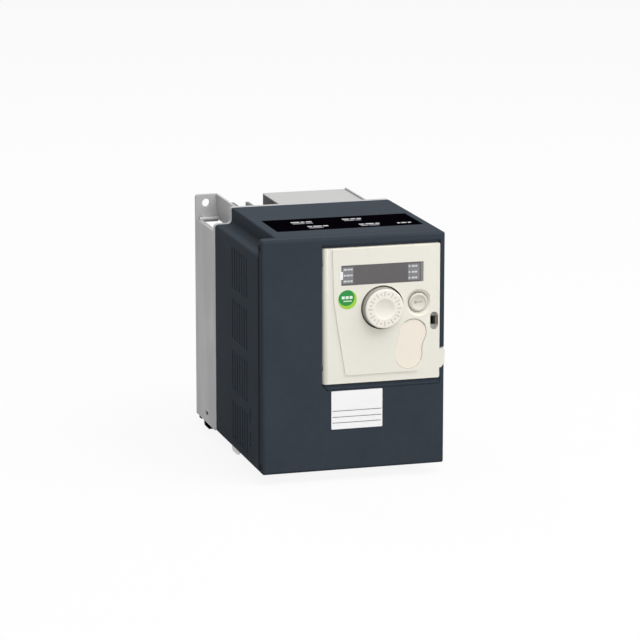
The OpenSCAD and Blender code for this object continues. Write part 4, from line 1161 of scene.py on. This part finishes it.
@dataclass
class Window:
    """Legends, right-end strip of painted shade and nub of the display window, with dash lengths in
    millimetres.
    """

    palette: Palette
    left_dashes: tuple[tuple[float, ...], ...] = ((1.9, 1.3, 1.3), (1.3, 1.9, 1.3), (1.9, 1.3, 1.3))
    right_dashes: tuple[tuple[float, ...], ...] = ((1.6, 1.2), (1.2, 1.6), (1.6, 1.2))
    dash_h: float = 1.0 * MM
    dash_gap: float = 0.35 * MM
    dash_in: float = 0.7 * MM
    row_margin: float = 0.4
    square: Pair = (0.4 * MM, 1.3 * MM)
    past_square: float = 2.2 * MM
    left_panel: Pair = (0.6 * MM, 7.0 * MM)
    right_panel: Pair = (9.0 * MM, 2.2 * MM)
    panel_in: float = 1.0 * MM
    strip_w: float = 1.5 * MM
    strip_in: float = 0.1 * MM
    nub: tuple[float, float, float] = (2.0 * MM, 0.6 * MM, 4.6 * MM)
    nub_out: float = 1.1 * MM
    nub_proud: float = 0.3 * MM
    nub_round: float = 0.18 * MM

    def build(self) -> None:
        """Adds the legends at both ends, a painted shade strip for the window's recess wall, and the nub.
        """
        low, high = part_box("display_window")
        prints = Prints(self.palette, "door")
        left_zone = tuple(low.x + reach for reach in self.left_panel)
        right_zone = tuple(high.x - reach for reach in self.right_panel)
        rows = (low.z + self.panel_in, high.z - self.panel_in)
        prints.on_front("legend_panels", Ink.GREY, low.y, [(*left_zone, *rows), (*right_zone, *rows)])
        marks = self.legends(low.z, high.z, left_zone[0], right_zone[0])
        prints.on_front("legend_marks", Ink.PALE, low.y - prints.film, marks)
        # Painted shade: a grey strip that stands for the shaded right wall of a deeper window recess.
        inset = self.strip_in
        strip = (high.x - self.strip_w, high.x - inset, low.z + inset, high.z - inset)
        prints.on_front("window_shaded_bevel", Ink.BEVEL, low.y, [strip])
        mesh = Mesh("window_nub")
        foot = (low.z + high.z - self.nub[2]) / 2
        corner = Vector((low.x - self.nub_out, low.y - self.nub_proud, foot))
        mesh.slab(corner, corner + Vector(self.nub), self.nub_round)
        mesh.finish(self.palette.take(WHITE_LABEL), "door", "label")

    def legends(self, low: float, high: float, left: float, right: float) -> list[Bar]:
        """Lays rows of dashes at both ends of the window, those at the right beside a square mark.

        Args:
            low: Foot of the window.
            high: Top of the window.
            left: Where the left panel starts.
            right: Where the right panel starts.

        Returns:
            The bars.
        """
        count = len(self.left_dashes)
        pitch = (high - low) / (count + self.row_margin)
        marks = []
        for row, (first, second) in enumerate(zip(self.left_dashes, self.right_dashes)):
            height = (low + high) / 2 + ((count - 1) / 2 - row) * pitch
            ends = dashes(left + self.dash_in, first, self.dash_gap)
            ends.append(tuple(right + reach for reach in self.square))
            ends += dashes(right + self.past_square, second, self.dash_gap)
            marks += [(*pair, height - self.dash_h / 2, height + self.dash_h / 2) for pair in ends]
        return marks


@dataclass
class Controls:
    """Finishes of the dial and the escape key, and the low rim on the key."""

    palette: Palette
    dial_taper: float = 0.7 * MM
    rim_outer: float = 4.75 * MM
    rim_inner: float = 3.85 * MM
    rim_h: float = 0.5 * MM
    rim_sunk: float = 0.1 * MM

    def build(self) -> None:
        """Paints the dial and the key, and adds the key's rim."""
        face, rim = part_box("jog_dial")[0].y, radius_of("jog_dial") - self.dial_taper
        self.palette.paint("jog_dial", MarkedDial("marked_dial", centre_of("jog_dial"), face, rim))
        across, up = centre_of("escape_key")
        finish = self.palette.paint("escape_key", ArrowKey("arrow_key", (across, up)))
        foot = Vector((across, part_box("escape_key")[0].y + self.rim_sunk, up))
        mesh = Mesh("key_rim")
        mesh.rim(foot, self.rim_outer, self.rim_inner, self.rim_h, self.rim_h / 2)
        mesh.finish(finish, "escape", "dial_plastic")


@dataclass
class KeypadDoor:
    """Finishes of the keypad door, its sticker and the bezel behind it, and the key blank's joint shadow.
    """

    palette: Palette
    dial_gap: float = 0.5 * MM
    hole_over: float = 0.15 * MM
    hole_deep: float = 0.1 * MM
    hole_light: float = 0.1
    slot_in: float = 2.65 * MM
    slot_down: float = 44.4 * MM
    slot_half: Pair = (2.6 * MM, 5.4 * MM)
    slot_light: Pair = (0.3, 0.45)
    shield_rise: float = 0.8 * MM
    display_in: float = 0.6 * MM
    behind_hole: float = 0.5 * MM
    behind_slot: Pair = (3 * MM, 4.2 * MM)
    behind_rise: float = 0.4 * MM
    behind_light: float = 0.05
    joint_w: float = 0.4 * MM
    joint_from: float = 0.3
    joint_above: float = 0.16
    joint_proud: float = 0.02 * MM
    joint_t: float = 0.1 * MM
    front_slack: float = 0.01 * MM

    def build(self) -> None:
        """Paints the sticker, the door and the bezel, and adds the joint line of painted shadow."""
        label = RoundLabel("round_label", centre_of("round_sticker"), radius_of("round_sticker"))
        self.palette.paint("round_sticker", label)
        self.dress_door()
        self.add_joint_shadow()

    def dress_door(self) -> None:
        """Paints the door and the bezel, with painted shade in the dial's hole and the sealing slot."""
        low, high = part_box("keypad_door")
        dial, hole = centre_of("jog_dial"), radius_of("jog_dial") + self.dial_gap
        slot = (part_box("keypad_bezel")[1].x - self.slot_in, high.z - self.slot_down)
        bezel_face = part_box("display_module")[0].y - self.display_in
        dim, dark = (self.hole_light,) * 2, (self.behind_light,) * 2
        # Painted shade in the gap round the dial and inside the sealing slot's scoop.
        self.palette.paint("keypad_door", replace(BEIGE, name="door_plastic", shaded_hollows=(
            ShadedHollow(dial, (hole + self.hole_over,) * 2, low.y + self.hole_deep, *dim),
            ShadedHollow(slot, self.slot_half, low.y + self.shield_rise, *self.slot_light))))
        # Painted shade on the walls of the bezel's wells behind the dial's hole and the slot.
        self.palette.paint("keypad_bezel", replace(BEIGE, name="bezel_plastic", shaded_hollows=(
            ShadedHollow(dial, (hole + self.behind_hole,) * 2, bezel_face, *dark),
            ShadedHollow(slot, self.behind_slot, bezel_face - self.behind_rise, *dark))))

    def add_joint_shadow(self) -> None:
        """Adds the dark joint line along the right side of the key blank, painted as the shadow of its
        step.
        """
        low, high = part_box("key_blank")
        mesh = Mesh("blank_joint_shadow")
        body = mesh.body
        body.from_mesh(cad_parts["key_blank"].data)
        bmesh.ops.remove_doubles(body, verts=body.verts[:], dist=WELD)
        front = [face for face in body.faces
                 if max(vert.co.y for vert in face.verts) < low.y + self.front_slack]
        ring = bmesh.ops.inset_region(body, faces=front, thickness=self.joint_w, use_even_offset=True,
                                      use_boundary=True)["faces"]
        # Painted shadow: only the ring's right and upper stretch is kept, where the step casts shade.
        start = low.x + (high.x - low.x) * self.joint_from
        foot = low.z + (high.z - low.z) * self.joint_above
        middles = {face: face.calc_center_median() for face in ring}
        kept = {face for face, middle in middles.items() if middle.x > start and middle.z > foot}
        spare = [face for face in body.faces if face not in kept]
        bmesh.ops.delete(body, geom=spare, context="FACES")
        bmesh.ops.solidify(body, geom=body.faces[:], thickness=self.joint_t)
        near = min(vert.co.y for vert in body.verts)
        shift = (0, low.y - self.joint_proud - near, 0)
        bmesh.ops.translate(body, verts=body.verts[:], vec=shift)
        mesh.finish(self.palette.ink(Ink.JOINT), "door", "label")


@dataclass
class FrontCover:
    """Finish of the front cover, and the rules on its plate."""

    palette: Palette
    door_gap: float = 0.3 * MM
    hinge_gap: float = 0.6 * MM
    end_gap: float = 0.5 * MM
    recess_h: float = 3.7 * MM
    rule_h: float = 0.35 * MM
    rule_in: float = 0.02
    rules: tuple[float, ...] = (0.47, 0.31, 0.16)

    def build(self) -> None:
        """Paints the cover and rules its plate."""
        self.dress_cover()
        low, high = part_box("rating_plate")
        inset = (high.x - low.x) * self.rule_in
        heights = [low.z + (high.z - low.z) * share for share in self.rules]
        lines = [(low.x + inset, high.x - inset, height, height + self.rule_h) for height in heights]
        Prints(self.palette, "cover").on_front("plate_rules", Ink.DARK, low.y, lines)

    def dress_cover(self) -> None:
        """Paints the cover, with painted shade along the recess below the door."""
        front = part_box("front_cover")[0].y
        door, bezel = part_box("keypad_door")[0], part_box("keypad_bezel")[1]
        head = door.z - self.door_gap
        recess = ShadedRecess(door.x - self.hinge_gap, bezel.x + self.end_gap, head - self.recess_h, head, front)
        self.palette.paint("front_cover", replace(NAVY, name="cover_plastic", shaded_hollows=(recess,)))


@dataclass(frozen=True)
class DashGroup:
    """A group of dashes on the top strip, in millimetres, placed from the strip's right and its front."""

    across: float
    back: float
    lines: tuple[tuple[float, ...], ...]


@dataclass
class TopStrip:
    """Marks on the black strip let into the top of the housing."""

    palette: Palette
    line_pitch: float = 4 * MM
    dash_h: float = 2.2 * MM
    dash_gap: float = 0.8 * MM
    groups: tuple[DashGroup, ...] = (
        DashGroup(71, 24, ((5, 2.2, 3.4), (7, 4))),
        DashGroup(40, 26, ((4, 3, 2.6), (6, 3))),
        DashGroup(65, 10, ((2.4, 5, 3), (8,))),
        DashGroup(35, 9, ((3, 5, 2.4), (4, 6))),
        DashGroup(13, 7, ((1.6, 3, 2),)),
    )

    def build(self) -> None:
        """Prints plain dashes on the strip, paler in the first line of each group."""
        low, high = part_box("vent_strip")
        prints = Prints(self.palette, "drive")
        pale, dim = [], []
        for group in self.groups:
            for row, line in enumerate(group.lines):
                near = low.y + group.back * MM - row * self.line_pitch
                ends = dashes(high.x - group.across * MM, line, self.dash_gap)
                marks = dim if row else pale
                marks += [(*pair, near, near + self.dash_h) for pair in ends]
        prints.on_top("strip_notes", Ink.PALE, high.z, pale)
        prints.on_top("strip_small_print", Ink.MIST, high.z, dim)


@dataclass
class Heatsink:
    """Finish of the casting that carries the drive, and the rolled lips of its ears."""

    palette: Palette
    lip_in: float = 1.2 * MM
    web_out: float = 12.4 * MM
    web_in: float = 14.0 * MM
    edge: float = 0.8 * MM
    ear_h: float = 14.5 * MM
    lip_h: float = 2.0 * MM
    lip_reach: float = 6.6 * MM
    roll: float = 1.6 * MM

    def build(self) -> None:
        """Paints the casting, with painted shade between its fins, and rolls the lips of its ears."""
        low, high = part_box("heatsink")
        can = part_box("filter_can")[0]
        fin_shade = FinShade((low.x + self.web_in, can.x), (can.y, high.y - self.edge))
        casting = self.palette.paint("heatsink", replace(CASTING, fin_shade=fin_shade))
        mesh = Mesh("rolled_lips")
        drop = self.ear_h - self.lip_h + self.roll
        for side, corner, up in ((1, low.x, high.z - drop), (-1, high.x, low.z + drop)):
            foot = Vector((corner + side * self.lip_in, high.y - self.lip_reach, up))
            mesh.rod(foot, Vector((side, 0, 0)), self.web_out - self.lip_in, self.roll)
        mesh.finish(casting, "drive", "cast_aluminium")


@dataclass
class FilterCan:
    """Finish of the filter can: its sides painted dark grey as shade, under its paler lid."""

    palette: Palette
    # Painted shade: the can's sides are dark grey because they face away from the light.
    shaded_walls: Colour = srgb(96, 96, 96)
    lid: Colour = srgb(195, 195, 194)
    hem: float = 1.4 * MM
    metal: float = 0.1
    roughness: float = 0.5
    gloss: float = 0.04

    def build(self) -> None:
        """Paints the can, its sides dark as painted shade."""
        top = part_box("filter_can")[1].z - self.hem
        look = {"metal": self.metal, "roughness": self.roughness, "gloss": self.gloss}
        finish = SheetMetal("can_paint_and_shade", self.shaded_walls, lid=self.lid, lid_from=top, **look)
        self.palette.paint("filter_can", finish)


@dataclass
class Choke:
    """Finish of the wound choke on the power board."""

    palette: Palette

    def build(self) -> None:
        """Gives the ring its winding."""
        self.palette.paint("filter_choke", Winding("copper_winding", centre_of("filter_choke")))


@dataclass
class BoardParts:
    """Small parts on the free stretch of the control board."""

    palette: Palette
    chips_at: tuple[float, ...] = (0.16, 0.40, 0.58)
    chips_up: float = 3.4 * MM
    chip_w: float = 9.0 * MM
    chip_h: float = 5.0 * MM
    chip_t: float = 1.5 * MM
    chip_gap: float = 0.15 * MM
    chip_round: float = 0.2 * MM
    leg_out: float = 0.8 * MM
    leg_in: float = 0.1 * MM
    leg_pitch: float = 1.27 * MM
    leg_w: float = 0.4 * MM
    leg_t: float = 0.6 * MM
    resistors: int = 18
    resistor: tuple[float, float, float] = (1.6 * MM, 0.55 * MM, 0.8 * MM)
    resistor_in: float = 6 * MM
    resistor_pitch: float = 4.6 * MM
    resistor_up: float = 0.4 * MM
    resistor_round: float = 0.12 * MM

    def build(self) -> None:
        """Adds chips with legs and a row of tiny resistors above the terminals."""
        low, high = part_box("control_board")
        row_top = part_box("control_terminals")[1].z
        chips, legs, tiny = Mesh("control_chips"), Mesh("chip_legs"), Mesh("chip_resistors")
        for share in self.chips_at:
            across = low.x + (high.x - low.x) * share
            self.add_chip(chips, legs, Vector((across, low.y, row_top + self.chips_up)))
        chips.finish(self.palette.take(BLACK), "drive", "black_plastic")
        legs.finish(self.palette.take(ZINC), "drive", "steel")
        for index in range(self.resistors):
            across = low.x + self.resistor_in + index * self.resistor_pitch
            start = Vector((across, low.y - self.resistor[1], row_top + self.resistor_up))
            tiny.slab(start, start + Vector(self.resistor), self.resistor_round, 1)
        tiny.finish(self.palette.take(CREAM), "drive", "insert_plastic")

    def add_chip(self, chips: Mesh, legs: Mesh, middle: Vector) -> None:
        """Adds one chip and its legs.

        Args:
            chips: Mesh of the chip bodies.
            legs: Mesh of the legs.
            middle: Middle of the chip on the board's face.
        """
        half = Vector((self.chip_w / 2, 0, self.chip_h / 2 - self.leg_out))
        near, far = Vector((0, self.chip_t, 0)), Vector((0, self.chip_gap, 0))
        chips.slab(middle - half - near, middle + half - far, self.chip_round)
        count = int(self.chip_w / self.leg_pitch)
        reach = (half.z - self.leg_in, self.chip_h / 2)
        for index in range(count):
            across = middle.x + (index - (count - 1) / 2) * self.leg_pitch
            for side in (-1, 1):
                foot, head = sorted(middle.z + side * part for part in reach)
                legs.slab((across - self.leg_w / 2, middle.y - self.leg_t, foot),
                          (across + self.leg_w / 2, middle.y, head))


@dataclass
class Viewpoint:
    """The camera at the photographed angle."""

    azimuth: float = math.radians(-16.061)
    elevation: float = math.radians(12.571)
    distance: float = 1.88635
    target: tuple[float, float, float] = (0, -0.076, -0.00125)
    lens: float = 182.22
    sensor: float = 36
    shift: Pair = (0.00556, 0.00844)
    clip: Pair = (0.05, 50)

    def build(self) -> None:
        """Sets up the camera."""
        data = bpy.data.cameras.new("camera")
        data.lens = self.lens
        data.sensor_width = self.sensor
        data.shift_x, data.shift_y = self.shift
        data.clip_start, data.clip_end = self.clip
        camera = bpy.data.objects.new("camera", data)
        flat = math.cos(self.elevation)
        across, depth = math.sin(self.azimuth) * flat, -math.cos(self.azimuth) * flat
        back = Vector((across, depth, math.sin(self.elevation)))
        camera.location = Vector(self.target) + back * self.distance
        camera.rotation_mode = "QUATERNION"
        camera.rotation_quaternion = (-back).to_track_quat("-Z", "Y")
        bpy.context.scene.collection.objects.link(camera)
        bpy.context.scene.camera = camera


@dataclass(frozen=True)
class Lamp:
    """A soft area light that looks at the object."""

    name: str
    place: tuple[float, float, float]
    power: float
    size: float
    aim: tuple[float, float, float] = (0, -0.08, 0)

    def build(self) -> None:
        """Adds the lamp, turned to the object's middle."""
        data = bpy.data.lights.new(self.name, "AREA")
        data.energy = self.power
        data.size = self.size
        light = bpy.data.objects.new(self.name, data)
        light.location = self.place
        light.rotation_mode = "QUATERNION"
        light.rotation_quaternion = (Vector(self.aim) - Vector(self.place)).to_track_quat("-Z", "Y")
        bpy.context.scene.collection.objects.link(light)


@dataclass
class Studio:
    """Pale floor, white surroundings and soft light."""

    lamps: tuple[Lamp, ...] = (
        Lamp("key", (0.85, -1.15, 2.05), 63.0, 2.6),
        Lamp("fill", (-0.45, -2.6, 0.4), 23.0, 1.4),
        Lamp("rim", (-0.3, 1.4, 1.6), 8.0, 1.0),
    )
    white: tuple[float, float, float, float] = (1, 1, 1, 1)
    daylight: float = 0.24
    backdrop: float = 1.0
    shadow: float = 0.22
    floor_gap: float = 0.2 * MM
    floor_half: float = 6
    floor_grey: tuple[float, float, float, float] = (0.42, 0.42, 0.42, 1)
    floor_glow: float = 1.15

    def build(self) -> None:
        """Builds the world, the floor and the lamps."""
        bpy.context.scene.view_settings.view_transform = "Standard"
        self.add_world()
        self.add_floor()
        for lamp in self.lamps:
            lamp.build()

    def add_world(self) -> None:
        """Lights the scene evenly, and shows white to the camera and in reflections."""
        world = bpy.data.worlds.new("surroundings")
        bpy.context.scene.world = world
        world.use_nodes = True
        tree = world.node_tree
        tree.nodes.clear()
        shaders = [tree.nodes.new("ShaderNodeBackground") for _ in range(2)]
        for shader, strength in zip(shaders, (self.daylight, self.backdrop)):
            shader.inputs["Color"].default_value = self.white
            shader.inputs["Strength"].default_value = strength
        self.blend(tree, self.add_seen(tree), shaders, "ShaderNodeOutputWorld")

    @staticmethod
    def add_seen(tree: bpy.types.NodeTree) -> bpy.types.NodeSocket:
        """Adds nodes that give 1 to rays from the camera, and to those that gloss or glass sends on.

        Args:
            tree: Nodes of the world or of a material.

        Returns:
            The socket with that number.
        """
        path = tree.nodes.new("ShaderNodeLightPath")
        seen = path.outputs["Is Camera Ray"]
        for kind in ("Is Glossy Ray", "Is Transmission Ray"):
            either = tree.nodes.new("ShaderNodeMath")
            either.operation = "MAXIMUM"
            tree.links.new(seen, either.inputs[0])
            tree.links.new(path.outputs[kind], either.inputs[1])
            seen = either.outputs[0]
        return seen

    @staticmethod
    def blend(tree: bpy.types.NodeTree, share: bpy.types.NodeSocket, shaders: Sequence[bpy.types.Node],
              kind: str) -> None:
        """Mixes two shaders and sends the result to the output.

        Args:
            tree: Nodes of the world or of a material.
            share: 0 for the first shader, 1 for the second.
            shaders: Both shaders.
            kind: Type of the output node.
        """
        both = tree.nodes.new("ShaderNodeMixShader")
        sources = (share, *(shader.outputs[0] for shader in shaders))
        for source, socket in zip(sources, both.inputs):
            tree.links.new(source, socket)
        output = tree.nodes.new(kind)
        tree.links.new(both.outputs[0], output.inputs["Surface"])

    def add_floor(self) -> None:
        """Lays a wide pale floor just under the object."""
        mesh = bmesh.new()
        bmesh.ops.create_grid(mesh, x_segments=1, y_segments=1, size=self.floor_half)
        data = bpy.data.meshes.new("floor")
        mesh.to_mesh(data)
        mesh.free()
        floor = bpy.data.objects.new("floor", data)
        floor.location.z = CAD_BOX[0].z - self.floor_gap
        bpy.context.scene.collection.objects.link(floor)
        data.materials.append(self.floor_finish())

    def floor_finish(self) -> bpy.types.Material:
        """Builds the floor's nodes: matte to the light, and nearly white to the camera.

        Returns:
            The material.
        """
        material = bpy.data.materials.new("pale_floor")
        material.use_nodes = True
        tree = material.node_tree
        tree.nodes.clear()
        matte = tree.nodes.new("ShaderNodeBsdfDiffuse")
        matte.inputs["Color"].default_value = self.floor_grey
        glow = tree.nodes.new("ShaderNodeEmission")
        glow.inputs["Strength"].default_value = self.floor_glow
        share = tree.nodes.new("ShaderNodeMath")
        share.operation = "MULTIPLY"
        share.inputs[1].default_value = 1 - self.shadow
        tree.links.new(self.add_seen(tree), share.inputs[0])
        self.blend(tree, share.outputs[0], (matte, glow), "ShaderNodeOutputMaterial")
        return material


def main() -> None:
    """Builds the camera, the studio, the finishes and the added pieces in order."""
    logging.basicConfig(level=logging.INFO, format="%(name)s: %(message)s")
    Viewpoint().build()
    Studio().build()
    palette = Palette()
    for part in (Solids, Window, Controls, KeypadDoor, FrontCover, TopStrip, Heatsink, FilterCan, Choke,
                 BoardParts):
        part(palette).build()


if __name__ == "__main__":
    main()
